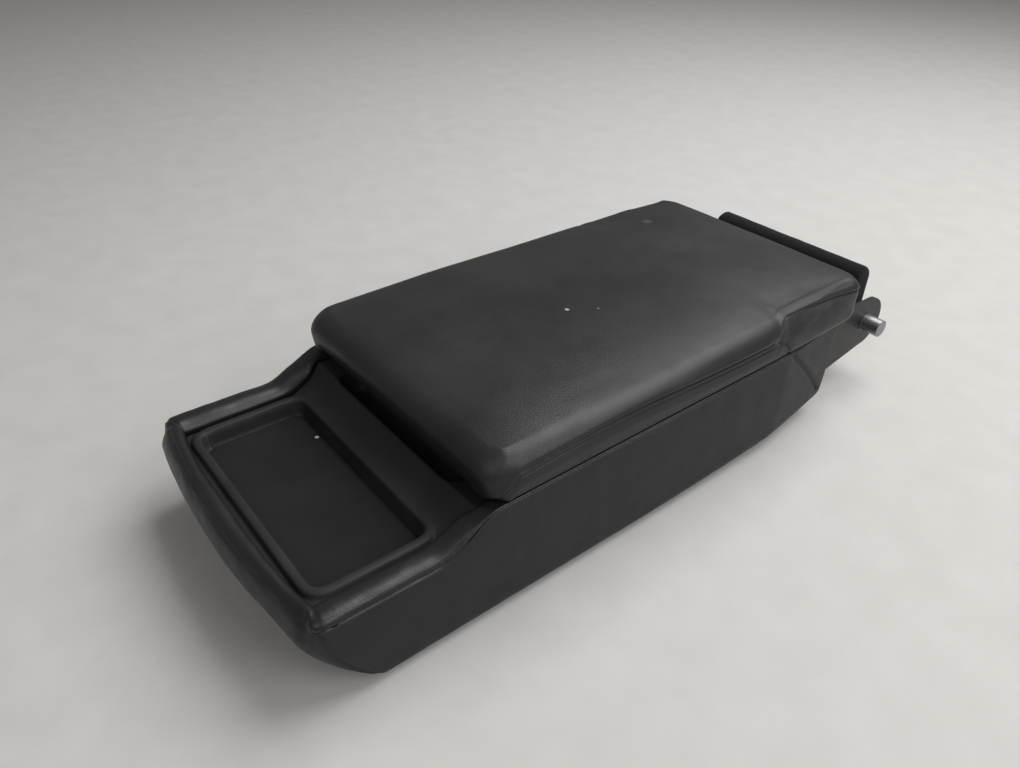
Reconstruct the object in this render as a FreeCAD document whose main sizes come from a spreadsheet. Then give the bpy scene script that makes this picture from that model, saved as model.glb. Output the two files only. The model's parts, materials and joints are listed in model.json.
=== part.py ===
import FreeCAD, Part
import os

import Sketcher

"""Rear seat armrest with a padded lid over a storage bin and a shallow tray at its front end.

Frame: X across the seat, Y along the armrest with the tray end at -Y, Z up, millimetres.
The origin is the middle of the footprint, on the surface that the armrest lies on.
"""

# Driving sizes in millimetres (angles do not occur); "back" values run from the front edge
SIZES = {
    # upholstered base
    "base_width": 240.0,
    "base_length": 511.0,
    "base_height": 94.5,
    "tray_drop": 22.5,
    "rim_rise": 4.0,
    "front_bow": 9.0,
    "front_corner": 12.0,
    "front_roll": 12.0,
    "chin_setback": 52.0,
    "chin_radius": 150.0,
    "flat_back": 340.0,
    "underside_rise": 8.0,
    "edge_radius": 14.0,
    "sweep_back": 97.0,
    "sweep_run": 44.0,
    "sweep_radius": 62.0,
    "neck_length": 80.0,
    "neck_inset": 9.0,
    "leather": 2.0,
    "side_padding": 13.0,
    "under_padding": 12.0,
    "clearance": 0.3,
    # moulded carrier
    "carrier_wall": 3.0,
    "carrier_back": 54.0,
    "rib_height": 4.0,
    "rib_width": 2.5,
    "rib_spacing": 56.0,
    "rib_count": 5.0,
    # tray insert
    "moulding": 2.5,
    "tray_back": 12.0,
    "tray_skirt": 12.0,
    "recess_back": 29.0,
    "recess_length": 79.0,
    "recess_width": 180.0,
    "recess_depth": 14.0,
    "recess_corner": 9.0,
    "bead_width": 4.0,
    "bead_rise": 1.8,
    "slope_back": 107.0,
    "slope_run": 26.0,
    "ledge_drop": 6.5,
    "slope_radius": 38.0,
    "tray_end_back": 161.0,
    "scoop_back": 135.5,
    "scoop_length": 22.5,
    "scoop_width": 152.0,
    "scoop_depth": 16.0,
    "mat_margin": 2.0,
    "mat_thickness": 2.0,
    # storage bin
    "deck_drop": 6.0,
    "bin_rear_space": 35.1,
    "bin_corner": 12.0,
    # padded lid
    "parting_gap": 1.0,
    "lid_thickness": 38.5,
    "lid_chin_back": 141.0,
    "lid_brow_back": 149.0,
    "nose_radius": 20.5,
    "lid_overhang": 23.75,
    "lid_front_corner": 14.0,
    "lid_rear_corner": 14.0,
    "lid_rear_round": 14.0,
    "lid_neck_length": 103.0,
    "lid_neck_inset": 12.0,
    "roll_radius": 20.0,
    "board_thickness": 4.0,
    "board_margin": 17.0,
    "board_end": 7.0,
    "liner_thickness": 2.5,
    "liner_margin": 20.0,
    "liner_front": 13.0,
    "liner_rear": 10.0,
    # lid hinges
    "hinge_spread": 120.0,
    "hinge_reach": 30.0,
    "hinge_drop": 5.5,
    "hinge_pin_radius": 3.0,
    "knuckle_radius": 6.5,
    "knuckle_width": 11.4,
    "hinge_plate": 3.0,
    "hinge_foot_width": 42.0,
    "hinge_foot_depth": 26.0,
    "arm_width": 30.0,
    "arm_length": 48.0,
    "running_gap": 0.05,
    # pivot brackets, shaft and felt roll
    "bracket_reach": 103.0,
    "bracket_plate": 4.0,
    "bracket_inset": 24.0,
    "bracket_foot": 36.0,
    "bracket_foot_space": 6.0,
    "bracket_low": 20.0,
    "bracket_high": 84.0,
    "pivot_height": 58.0,
    "pivot_eye": 24.0,
    "shaft_radius": 10.0,
    "collar_radius": 8.5,
    "stub_radius": 8.0,
    "stub_length": 16.0,
    "roll_end_space": 9.0,
    "felt_roll_radius": 13.0,
    "felt_roll_rise": 38.0,
    # fasteners
    "bolt_radius": 4.0,
    "bolt_head": 7.5,
    "bolt_head_height": 5.3,
    "bolt_pitch": 20.0,
    "screw_radius": 2.0,
    "screw_head": 4.0,
    "screw_head_height": 1.8,
    "screw_pitch": 26.0,
    "hole_gap": 0.25,
    # release paddle and striker
    "paddle_width": 60.0,
    "paddle_reach": 23.0,
    "paddle_thickness": 3.0,
    "paddle_drop": 4.0,
    "paddle_tail": 5.0,
    "paddle_pivot_back": 170.0,
    "paddle_pivot_drop": 4.5,
    "paddle_pin_radius": 2.0,
    "hub_radius": 4.0,
    "hub_width": 18.0,
    "ear_width": 3.0,
    "hook_width": 20.0,
    "hook_drop": 17.0,
    "hook_reach": 10.0,
    "hook_barb": 3.5,
    "striker_plate": 2.0,
    "striker_width": 32.0,
    "striker_drop": 12.5,
    "striker_reach": 28.0,
    "striker_foot": 20.0,
    "latch_gap": 0.4,
    "notch_drop": 11.0,
    # spring and stops
    "spring_wire": 0.4,
    "spring_radius": 3.0,
    "spring_length": 16.0,
    "spring_turns": 8.0,
    "stop_radius": 5.0,
    "stop_inset": 30.0,
    "front_stop_back": 153.0,
    "rear_stop_inset": 17.0,
}

NODES = []


class Size:
    """A length that carries both its value and the sheet expression that drives it."""

    def __init__(self, value, text):
        self.value = float(value)
        self.text = text

    @staticmethod
    def of(other):
        if isinstance(other, Size):
            return other
        return Size(other, repr(float(other)))

    def __add__(self, other):
        other = Size.of(other)
        return Size(self.value + other.value, "(%s + %s)" % (self.text, other.text))

    def __sub__(self, other):
        other = Size.of(other)
        return Size(self.value - other.value, "(%s - %s)" % (self.text, other.text))

    def __mul__(self, other):
        other = Size.of(other)
        return Size(self.value * other.value, "(%s * %s)" % (self.text, other.text))

    def __truediv__(self, other):
        other = Size.of(other)
        return Size(self.value / other.value, "(%s / %s)" % (self.text, other.text))

    def __neg__(self):
        return Size(-self.value, "(-1 * %s)" % self.text)

    def __radd__(self, other):
        return Size.of(other) + self

    def __rsub__(self, other):
        return Size.of(other) - self

    __rmul__ = __mul__


class Sheet:
    """The document's spreadsheet, read as named sizes."""

    def __init__(self, doc):
        self.cells = doc.addObject("Spreadsheet::Sheet", "Sizes")
        for row, (alias, value) in enumerate(SIZES.items(), start=1):
            self.cells.set("A%d" % row, alias)
            self.cells.set("B%d" % row, str(value))
            self.cells.setAlias("B%d" % row, alias)
        doc.recompute()

    def __getattr__(self, alias):
        return Size(getattr(self.cells, alias), "Sizes.%s" % alias)


doc = FreeCAD.newDocument("RearArmrest")
d = Sheet(doc)
ZERO = Size.of(0.0)


# Sketch and feature helpers

def new_body(label):
    """Starts one sub-part; its label names its file."""
    body = doc.addObject("PartDesign::Body", label)
    body.Label = label
    NODES.append(body)
    return body


def new_sketch(holder, role, offset=ZERO):
    """A sketch on one of the body's origin planes, shifted along the plane's normal."""
    sketch = holder.newObject("Sketcher::SketchObject", "Outline")
    plane = [f for f in holder.Origin.OriginFeatures if f.Role == role][0]
    sketch.AttachmentSupport = [(plane, "")]
    sketch.MapMode = "FlatFace"
    sketch.setExpression("AttachmentOffset.Base.z", offset.text)
    return sketch


def pin_point(sketch, geometry, position, x, y):
    """Ties a sketch point to its place from the sketch origin."""
    for kind, size in (("DistanceX", x), ("DistanceY", y)):
        index = sketch.addConstraint(
            Sketcher.Constraint(kind, -1, 1, geometry, position, size.value)
        )
        sketch.setExpression("Constraints[%d]" % index, size.text)


def set_radius(sketch, geometry, radius):
    index = sketch.addConstraint(Sketcher.Constraint("Radius", geometry, radius.value))
    sketch.setExpression("Constraints[%d]" % index, radius.text)


def arc_between(start, end, radius):
    """The minor arc from start to end; a positive radius turns left, a negative one right."""
    size = abs(radius)
    half = (end - start) / 2
    rise = (max(size * size - half.Length ** 2, 0.0)) ** 0.5
    left = FreeCAD.Vector(-half.y, half.x, 0).normalize()
    centre = start + half + left * (rise if radius > 0 else -rise)
    first, last = (start, end) if radius > 0 else (end, start)
    circle = Part.Circle(centre, FreeCAD.Vector(0, 0, 1), size)
    return Part.ArcOfCircle(circle, circle.parameter(first), circle.parameter(last))


def trace(sketch, corners):
    """Draws a closed outline of (x, y) or (x, y, radius of the edge that leaves the corner)."""
    places = [FreeCAD.Vector(Size.of(c[0]).value, Size.of(c[1]).value, 0) for c in corners]
    ends = []
    for index, corner in enumerate(corners):
        start, end = places[index], places[(index + 1) % len(corners)]
        if len(corner) == 3:
            radius = corner[2]
            edge = sketch.addGeometry(arc_between(start, end, radius.value), False)
            ends.append((edge, 1, 2) if radius.value > 0 else (edge, 2, 1))
            set_radius(sketch, edge, radius if radius.value > 0 else -radius)
        else:
            edge = sketch.addGeometry(Part.LineSegment(start, end), False)
            ends.append((edge, 1, 2))
    for index, (edge, first, last) in enumerate(ends):
        following = ends[(index + 1) % len(ends)]
        sketch.addConstraint(
            Sketcher.Constraint("Coincident", edge, last, following[0], following[1])
        )
        pin_point(sketch, edge, first, Size.of(corners[index][0]), Size.of(corners[index][1]))
    return sketch


def ring(sketch, x, y, radius):
    """Draws a bound circle."""
    centre = FreeCAD.Vector(x.value, y.value, 0)
    circle = Part.Circle(centre, FreeCAD.Vector(0, 0, 1), radius.value)
    edge = sketch.addGeometry(circle, False)
    pin_point(sketch, edge, 3, x, y)
    set_radius(sketch, edge, radius)
    return sketch


def rectangle(x0, y0, x1, y1):
    return [(x0, y0), (x1, y0), (x1, y1), (x0, y1)]


def rounded(x0, y0, x1, y1, radius):
    """A rectangle whose four corners are quarter arcs."""
    return [
        (x0 + radius, y0), (x1 - radius, y0, radius),
        (x1, y0 + radius), (x1, y1 - radius, radius),
        (x1 - radius, y1), (x0 + radius, y1, radius),
        (x0, y1 - radius), (x0, y0 + radius, radius),
    ]


def extrude(kind, body, sketch, length, both=False, reverse=False):
    """Adds a Pad or a Pocket along the sketch normal, or equally to both sides."""
    feature = body.newObject("PartDesign::" + kind, kind)
    feature.Profile = sketch
    feature.SideType = "Symmetric" if both else "One side"
    feature.Reversed = reverse
    feature.setExpression("Length", length.text)
    body.Tip = feature
    return feature


def pad(body, role, offset, corners, length, both=False):
    return extrude("Pad", body, trace(new_sketch(body, role, offset), corners), length, both)


def pocket_down(body, top, corners, depth):
    """Cuts an outline downwards from a level."""
    return extrude("Pocket", body, trace(new_sketch(body, "XY_Plane", top), corners), depth)


def pocket_across(body, corners, width):
    """Cuts a side outline equally to both sides of the middle."""
    sketch = trace(new_sketch(body, "YZ_Plane"), corners)
    return extrude("Pocket", body, sketch, width, both=True)


def drill(body, role, offset, places, radius, depth):
    """Cuts round holes, half of the depth to each side of the plane."""
    sketch = new_sketch(body, role, offset)
    for x, y in places:
        ring(sketch, x, y, radius)
    return extrude("Pocket", body, sketch, depth, both=True)


# Part primitives bound to the sheet

def bind(item, sizes):
    for name, size in sizes.items():
        item.setExpression(name, Size.of(size).text)
    return item


def place(item, x, y, z):
    return bind(item, {"Placement.Base.x": x, "Placement.Base.y": y, "Placement.Base.z": z})


def block(x0, y0, z0, x1, y1, z1):
    box = doc.addObject("Part::Box", "Block")
    bind(box, {"Length": Size.of(x1) - x0, "Width": Size.of(y1) - y0, "Height": Size.of(z1) - z0})
    return place(box, x0, y0, z0)


def rod(axis, x, y, z, radius, length):
    """A cylinder that starts at a point and runs along +X, +Y or +Z."""
    cylinder = doc.addObject("Part::Cylinder", "Rod")
    if axis == "X":
        cylinder.Placement.Rotation = FreeCAD.Rotation(FreeCAD.Vector(0, 1, 0), 90)
    if axis == "Y":
        cylinder.Placement.Rotation = FreeCAD.Rotation(FreeCAD.Vector(1, 0, 0), -90)
    bind(cylinder, {"Radius": radius, "Height": length})
    return place(cylinder, x, y, z)


def hexagon(x, y, z, radius, height):
    """A hexagon bolt head that starts at a point and runs along +Y."""
    head = doc.addObject("Part::Prism", "Head")
    head.Polygon = 6
    head.Placement.Rotation = FreeCAD.Rotation(FreeCAD.Vector(1, 0, 0), -90)
    bind(head, {"Circumradius": radius, "Height": height})
    return place(head, x, y, z)


def fuse(items):
    joined = doc.addObject("Part::MultiFuse", "Joined")
    joined.Shapes = items
    return joined


def common(items):
    shared = doc.addObject("Part::MultiCommon", "Shared")
    shared.Shapes = items
    return shared


def cut(base, tool):
    rest = doc.addObject("Part::Cut", "Rest")
    rest.Base = base
    rest.Tool = tool
    return rest


def group(items):
    gathered = doc.addObject("Part::Compound", "Gathered")
    gathered.Links = items
    return gathered


def node(item, label):
    """Names a finished document object as a sub-part."""
    item.Label = label
    NODES.append(item)
    return item


# Places that several sub-parts share

half = d.base_width / 2
front = -(d.base_length + d.bracket_reach) / 2
base_end = front + d.base_length
tray_level = d.base_height - d.tray_drop
rim = tray_level + d.rim_rise
ledge = d.base_height - d.ledge_drop
scoop_floor = ledge - d.scoop_depth
lid_bottom = d.base_height + d.parting_gap
lid_top = lid_bottom + d.lid_thickness
lid_nose = front + d.lid_chin_back - d.nose_radius / 2
lid_end = base_end + d.lid_overhang
skin = d.leather + d.clearance
carrier_half = half - skin - d.side_padding - d.clearance
carrier_front = front + d.carrier_back
carrier_end = base_end - skin
carrier_floor = skin + d.under_padding + d.clearance
deck = d.base_height - d.deck_drop
deck_seat = deck - d.moulding
tray_front = front + d.tray_back
tray_end = front + d.tray_end_back
tray_seat = tray_level - d.tray_skirt
bin_front = tray_end + d.clearance
bin_end = carrier_end - d.carrier_wall - d.bin_rear_space
bin_half = carrier_half - d.carrier_wall - d.clearance
bin_floor = carrier_floor + d.carrier_wall + d.rib_height + d.clearance
hinge_x = d.hinge_spread / 2
hinge_y = base_end + d.hinge_reach
hinge_z = lid_bottom - d.hinge_drop
pivot_y = base_end + d.bracket_reach - d.pivot_eye
web_outer = half - d.bracket_inset
web_inner = web_outer - d.bracket_plate
roll_half = web_inner - d.roll_end_space
paddle_y = front + d.paddle_pivot_back
paddle_z = lid_bottom - d.paddle_pivot_drop
paddle_half = d.paddle_width / 2
paddle_top = paddle_z - d.paddle_drop
notch_half = paddle_half + 2 * d.ear_width
notch_floor = paddle_z - d.notch_drop
striker_top = paddle_z - d.striker_drop + d.striker_plate
hook_end = paddle_y + d.hook_reach
board_half = half - d.board_margin
liner_half = half - d.liner_margin
foot_low = hinge_z - d.hinge_foot_depth
bracket_foot_height = foot_low - d.bracket_foot_space - d.bracket_low
bolt_x = web_inner - d.bracket_foot / 2
bolt_z = d.bracket_low + bracket_foot_height / 2
bolt_places = [
    (bolt_x * side, bolt_z + d.bolt_pitch / 2 * step) for side in (-1, 1) for step in (-1, 1)
]
foot_screw_x = d.hinge_foot_width / 2 - d.screw_head * 1.5
foot_screw_places = [
    (hinge_x * side + foot_screw_x * step, foot_low + d.hinge_foot_depth / 4)
    for side in (-1, 1) for step in (-1, 1)
]
arm_front = hinge_y - d.knuckle_radius * 2 - d.arm_length
arm_screw_places = [
    (hinge_x * side, arm_front + d.arm_length / 2 + d.screw_pitch / 2 * step)
    for side in (-1, 1) for step in (-1, 1)
]


# Upholstered forms: a side, a plan and an end outline, extruded and intersected

def soft_form(outlines, inset):
    """The form that three outlines share, drawn in by an inset."""
    extrusions = []
    for sketch, direction, reach in outlines:
        source = sketch
        if inset is not None:
            source = doc.addObject("Part::Offset2D", "Inset")
            source.Source = sketch
            source.setExpression("Value", (-inset).text)
        prism = doc.addObject("Part::Extrusion", "Prism")
        prism.Base = source
        prism.DirMode = "Custom"
        prism.Dir = direction
        prism.Solid = True
        prism.Symmetric = True
        prism.setExpression("LengthFwd", reach.text)
        extrusions.append(prism)
    return common(extrusions)


def loose_sketch(rotation, corners):
    """A sketch of its own in the document, turned into its plane."""
    sketch = doc.addObject("Sketcher::SketchObject", "FormOutline")
    sketch.Placement.Rotation = rotation
    return trace(sketch, corners)


ACROSS = FreeCAD.Vector(1, 0, 0)
ALONG = FreeCAD.Vector(0, 1, 0)
UP = FreeCAD.Vector(0, 0, 1)
SIDE_PLANE = FreeCAD.Rotation(UP, 90) * FreeCAD.Rotation(ACROSS, 90)
END_PLANE = FreeCAD.Rotation(ACROSS, 90)
PLAN_PLANE = FreeCAD.Rotation()
reach_all = (d.base_length + d.bracket_reach) * 2


def base_outlines():
    rise_run = d.base_length - d.flat_back
    rise_radius = (rise_run * rise_run + d.underside_rise * d.underside_rise) / (2 * d.underside_rise)
    side = [
        (front, rim),
        (front, rim - d.front_roll, d.chin_radius),
        (front + d.chin_setback, ZERO),
        (front + d.flat_back, ZERO, rise_radius),
        (base_end, d.underside_rise),
        (base_end, d.base_height),
        (front + d.sweep_back + d.sweep_run, d.base_height, -d.sweep_radius),
        (front + d.sweep_back, rim),
    ]
    corner = d.front_corner
    bow_half = half - corner
    bow_radius = (bow_half * bow_half + d.front_bow * d.front_bow) / (2 * d.front_bow)
    shoulder = front + d.front_bow + corner
    neck = half - d.neck_inset
    plan = [
        (-half, shoulder, corner * 1.1),
        (-bow_half, front + d.front_bow, bow_radius),
        (bow_half, front + d.front_bow, corner * 1.1),
        (half, shoulder),
        (half, base_end - d.neck_length),
        (neck, base_end),
        (-neck, base_end),
        (-half, base_end - d.neck_length),
    ]
    end = [
        (-half, d.edge_radius, d.edge_radius),
        (d.edge_radius - half, ZERO),
        (half - d.edge_radius, ZERO, d.edge_radius),
        (half, d.edge_radius),
        (half, d.base_height),
        (-half, d.base_height),
    ]
    return [
        (loose_sketch(SIDE_PLANE, side), ACROSS, reach_all),
        (loose_sketch(PLAN_PLANE, plan), UP, reach_all),
        (loose_sketch(END_PLANE, end), ALONG, reach_all),
    ]


def lid_outlines():
    side = [
        (front + d.lid_chin_back, lid_bottom),
        (lid_end, lid_bottom),
        (lid_end, lid_top - d.lid_rear_round, d.lid_rear_round),
        (lid_end - d.lid_rear_round, lid_top),
        (front + d.lid_brow_back, lid_top, d.nose_radius),
    ]
    neck = half - d.lid_neck_inset
    nose, bend, turn = d.lid_front_corner, d.lid_rear_corner, lid_end - d.lid_neck_length
    plan = [
        (nose - half, lid_nose),
        (half - nose, lid_nose, nose),
        (half, lid_nose + nose),
        (half, turn),
        (neck, lid_end - bend, bend),
        (neck - bend, lid_end),
        (bend - neck, lid_end, bend),
        (-neck, lid_end - bend),
        (-half, turn),
        (-half, lid_nose + nose, nose),
    ]
    end = [
        (-half, lid_bottom),
        (half, lid_bottom),
        (half, lid_top - d.roll_radius, d.roll_radius),
        (half - d.roll_radius, lid_top),
        (d.roll_radius - half, lid_top, d.roll_radius),
        (-half, lid_top - d.roll_radius),
    ]
    return [
        (loose_sketch(SIDE_PLANE, side), ACROSS, reach_all),
        (loose_sketch(PLAN_PLANE, plan), UP, reach_all),
        (loose_sketch(END_PLANE, end), ALONG, reach_all),
    ]


def make_base_upholstery():
    """Sewn leather cover and the foam trough that it is stretched over."""
    outlines = base_outlines()
    mouth = carrier_half + d.clearance
    tray_mouth = block(-mouth, tray_front - d.clearance, tray_seat, mouth, bin_front, lid_top)
    bin_mouth = block(-mouth, tray_end, deck_seat, mouth, base_end + d.leather, lid_top)
    holes = [
        rod("Y", x, carrier_end - d.leather, z, d.bolt_radius + d.hole_gap, skin * 3)
        for x, z in bolt_places
    ]
    holes += [
        rod("Y", x, carrier_end - d.leather, z, d.screw_radius + d.hole_gap, skin * 3)
        for x, z in foot_screw_places
    ]
    shell = cut(soft_form(outlines, None), soft_form(outlines, d.leather))
    node(cut(shell, fuse([tray_mouth, bin_mouth] + holes)), "base_cover")
    tub = block(
        -mouth, carrier_front - d.clearance, carrier_floor - d.clearance,
        mouth, base_end, lid_top,
    )
    tray_bed = block(
        -mouth, tray_front - d.clearance,
        tray_level - d.recess_depth - d.moulding - d.clearance, mouth, bin_front, lid_top,
    )
    node(cut(soft_form(outlines, skin), fuse([tub, tray_bed])), "base_padding")


def make_carrier():
    """Moulded tub that carries the tray, the bin, the hinges and the brackets."""
    body = new_body("carrier")
    wall = d.carrier_wall
    pad(
        body, "XY_Plane", carrier_floor,
        rectangle(-carrier_half, carrier_front, carrier_half, carrier_end),
        deck_seat - carrier_floor,
    )
    pocket_down(
        body, deck_seat,
        rectangle(wall - carrier_half, carrier_front + wall, carrier_half - wall, carrier_end - wall),
        deck_seat - carrier_floor - wall,
    )
    pocket_down(
        body, deck_seat,
        rectangle(-half, carrier_front - wall, half, bin_front),
        deck_seat - tray_seat,
    )
    pocket_down(
        body, deck_seat,
        rectangle(-half, carrier_front - wall, half, carrier_front + wall * 2),
        deck_seat - (tray_level - d.recess_depth - d.moulding - d.clearance),
    )
    rib = pad(
        body, "XY_Plane", carrier_floor + wall / 2,
        rectangle(
            wall / 2 - carrier_half, bin_front + d.rib_spacing / 2,
            carrier_half - wall / 2, bin_front + d.rib_spacing / 2 + d.rib_width,
        ),
        wall / 2 + d.rib_height,
    )
    doc.recompute()
    ribs = body.newObject("PartDesign::LinearPattern", "Ribs")
    ribs.Originals = [rib]
    ribs.Direction = (body.Origin.OriginFeatures[1], [""])
    ribs.setExpression("Length", (d.rib_spacing * (d.rib_count - 1)).text)
    ribs.setExpression("Occurrences", d.rib_count.text)
    body.Tip = ribs
    drill(body, "XZ_Plane", -carrier_end, bolt_places, d.bolt_radius + d.hole_gap, wall * 3)
    drill(body, "XZ_Plane", -carrier_end, foot_screw_places, d.screw_radius + d.hole_gap, wall * 3)


def make_tray():
    """Moulded insert: raised bead, phone recess, slope, ledge and finger scoop under the lid."""
    body = new_body("tray")
    wall = d.moulding
    tray_half = carrier_half
    slope = front + d.slope_back
    crest = slope + d.slope_run
    pad(
        body, "YZ_Plane", ZERO,
        [
            (tray_front, tray_seat), (tray_end, tray_seat), (tray_end, ledge),
            (crest, ledge, -d.slope_radius), (slope, tray_level), (tray_front, tray_level),
        ],
        tray_half * 2, both=True,
    )
    pocket_across(
        body,
        [
            (tray_front + wall, tray_seat - wall), (tray_end - wall, tray_seat - wall),
            (tray_end - wall, ledge - wall),
            (crest + wall, ledge - wall, -(d.slope_radius + wall)),
            (slope, tray_level - wall), (tray_front + wall, tray_level - wall),
        ],
        (tray_half - wall) * 2,
    )
    recess_half = d.recess_width / 2
    recess_front = front + d.recess_back
    recess_end = recess_front + d.recess_length
    pad(
        body, "XY_Plane", tray_level - d.recess_depth - wall,
        rounded(
            -recess_half - wall, recess_front - wall, recess_half + wall, recess_end + wall,
            d.recess_corner + wall,
        ),
        d.recess_depth + wall,
    )
    bead = recess_half + wall + d.bead_width
    pad(
        body, "XY_Plane", tray_level - wall / 2,
        rounded(
            -bead, recess_front - wall - d.bead_width, bead, recess_end + wall + d.bead_width,
            d.recess_corner + wall + d.bead_width,
        ),
        d.bead_rise + wall / 2,
    )
    pocket_down(
        body, tray_level + d.bead_rise,
        rounded(-recess_half, recess_front, recess_half, recess_end, d.recess_corner),
        d.recess_depth + d.bead_rise,
    )
    scoop_half = d.scoop_width / 2
    scoop_front = front + d.scoop_back
    scoop_end = scoop_front + d.scoop_length
    pad(
        body, "XY_Plane", scoop_floor - wall,
        rectangle(-scoop_half - wall, scoop_front - wall, scoop_half + wall, scoop_end + wall),
        ledge - scoop_floor + wall,
    )
    pocket_down(
        body, ledge,
        rectangle(-scoop_half, scoop_front, scoop_half, scoop_end),
        ledge - scoop_floor,
    )
    pocket_down(
        body, ledge,
        rectangle(-notch_half, scoop_end - wall / 2, notch_half, tray_end + wall),
        ledge - notch_floor,
    )
    mat = new_body("tray_mat")
    edge = recess_half - d.mat_margin
    pad(
        mat, "XY_Plane", tray_level - d.recess_depth,
        rounded(
            -edge, recess_front + d.mat_margin, edge, recess_end - d.mat_margin,
            d.recess_corner - d.mat_margin,
        ),
        d.mat_thickness,
    )


def make_bin():
    """Moulded storage bin with the deck that closes the base below the lid, and its felt mat."""
    body = new_body("storage_bin")
    wall = d.moulding
    pad(
        body, "XY_Plane", bin_floor,
        rounded(-bin_half, bin_front, bin_half, bin_end, d.bin_corner + wall),
        deck - bin_floor,
    )
    pad(
        body, "XY_Plane", deck_seat,
        rectangle(-carrier_half, bin_front, carrier_half, carrier_end),
        wall,
    )
    inner = bin_half - wall
    pocket_down(
        body, deck,
        rounded(-inner, bin_front + wall, inner, bin_end - wall, d.bin_corner),
        deck - bin_floor - wall,
    )
    pocket_down(
        body, deck,
        rectangle(-notch_half, bin_front - wall, notch_half, bin_front + wall * 2),
        deck - notch_floor,
    )
    mat = new_body("bin_mat")
    edge = inner - d.mat_margin
    pad(
        mat, "XY_Plane", bin_floor + wall,
        rounded(
            -edge, bin_front + wall + d.mat_margin, edge, bin_end - wall - d.mat_margin,
            d.bin_corner - d.mat_margin,
        ),
        d.mat_thickness,
    )


def make_striker():
    """Angle plate on the bin's front wall, with the window that the hook drops into."""
    body = new_body("striker")
    seat = bin_front + d.moulding
    plate = d.striker_plate
    pad(
        body, "YZ_Plane", ZERO,
        [
            (seat, striker_top - d.striker_foot), (seat + plate, striker_top - d.striker_foot),
            (seat + plate, striker_top - plate), (seat + d.striker_reach, striker_top - plate),
            (seat + d.striker_reach, striker_top), (seat, striker_top),
        ],
        d.striker_width, both=True,
    )
    window = d.hook_width / 2 + d.ear_width / 2
    pocket_down(
        body, striker_top + plate,
        rectangle(-window, seat + plate + d.clearance, window, hook_end + d.latch_gap),
        plate * 2 + d.clearance,
    )


def make_lid_upholstery():
    """Sewn leather lid cover, turned under at its edges, over a foam pad."""
    outlines = lid_outlines()
    shell = cut(soft_form(outlines, None), soft_form(outlines, d.leather))
    mouth = liner_half + d.clearance
    opening = block(
        -mouth, front + d.lid_chin_back + d.liner_front - d.clearance, lid_bottom - d.leather,
        mouth, lid_end - d.liner_rear + d.clearance, lid_bottom + d.leather * 2,
    )
    node(cut(shell, opening), "lid_cover")
    bed = board_half + d.clearance
    board_front = front + d.lid_chin_back + d.board_end
    board_top = lid_bottom + d.liner_thickness + d.clearance + d.board_thickness
    pocket = block(
        -bed, board_front - d.clearance, lid_bottom,
        bed, lid_end - d.board_end + d.clearance, board_top + d.clearance,
    )
    node(cut(soft_form(outlines, skin), pocket), "lid_padding")


def make_lid_frame():
    """Stiff board inside the lid, and the moulded liner below it with the paddle's ears."""
    board = new_body("lid_board")
    board_front = front + d.lid_chin_back + d.board_end
    board_low = lid_bottom + d.liner_thickness + d.clearance
    pad(
        board, "XY_Plane", board_low,
        rounded(
            -board_half, board_front, board_half, lid_end - d.board_end, d.lid_rear_corner,
        ),
        d.board_thickness,
    )
    hole = d.screw_radius + d.hole_gap
    drill(board, "XY_Plane", board_low, arm_screw_places, hole, d.board_thickness * 4)
    liner = new_body("lid_liner")
    liner_front = front + d.lid_chin_back + d.liner_front
    pad(
        liner, "XY_Plane", lid_bottom,
        rectangle(-liner_half, liner_front, liner_half, lid_end - d.liner_rear),
        d.liner_thickness,
    )
    drill(liner, "XY_Plane", lid_bottom, arm_screw_places, hole, d.liner_thickness * 4)
    ear_half = d.hub_radius
    for side in (-1, 1):
        inner = paddle_half + d.clearance
        start = inner if side > 0 else -inner - d.ear_width
        pad(
            liner, "YZ_Plane", start,
            [
                (paddle_y - ear_half, paddle_z, ear_half),
                (paddle_y, paddle_z - ear_half, ear_half),
                (paddle_y + ear_half, paddle_z),
                (paddle_y + ear_half, lid_bottom + d.liner_thickness / 2),
                (paddle_y - ear_half, lid_bottom + d.liner_thickness / 2),
            ],
            d.ear_width,
        )
    bore = d.paddle_pin_radius + d.running_gap
    drill(liner, "YZ_Plane", ZERO, [(paddle_y, paddle_z)], bore, d.base_width)


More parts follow.
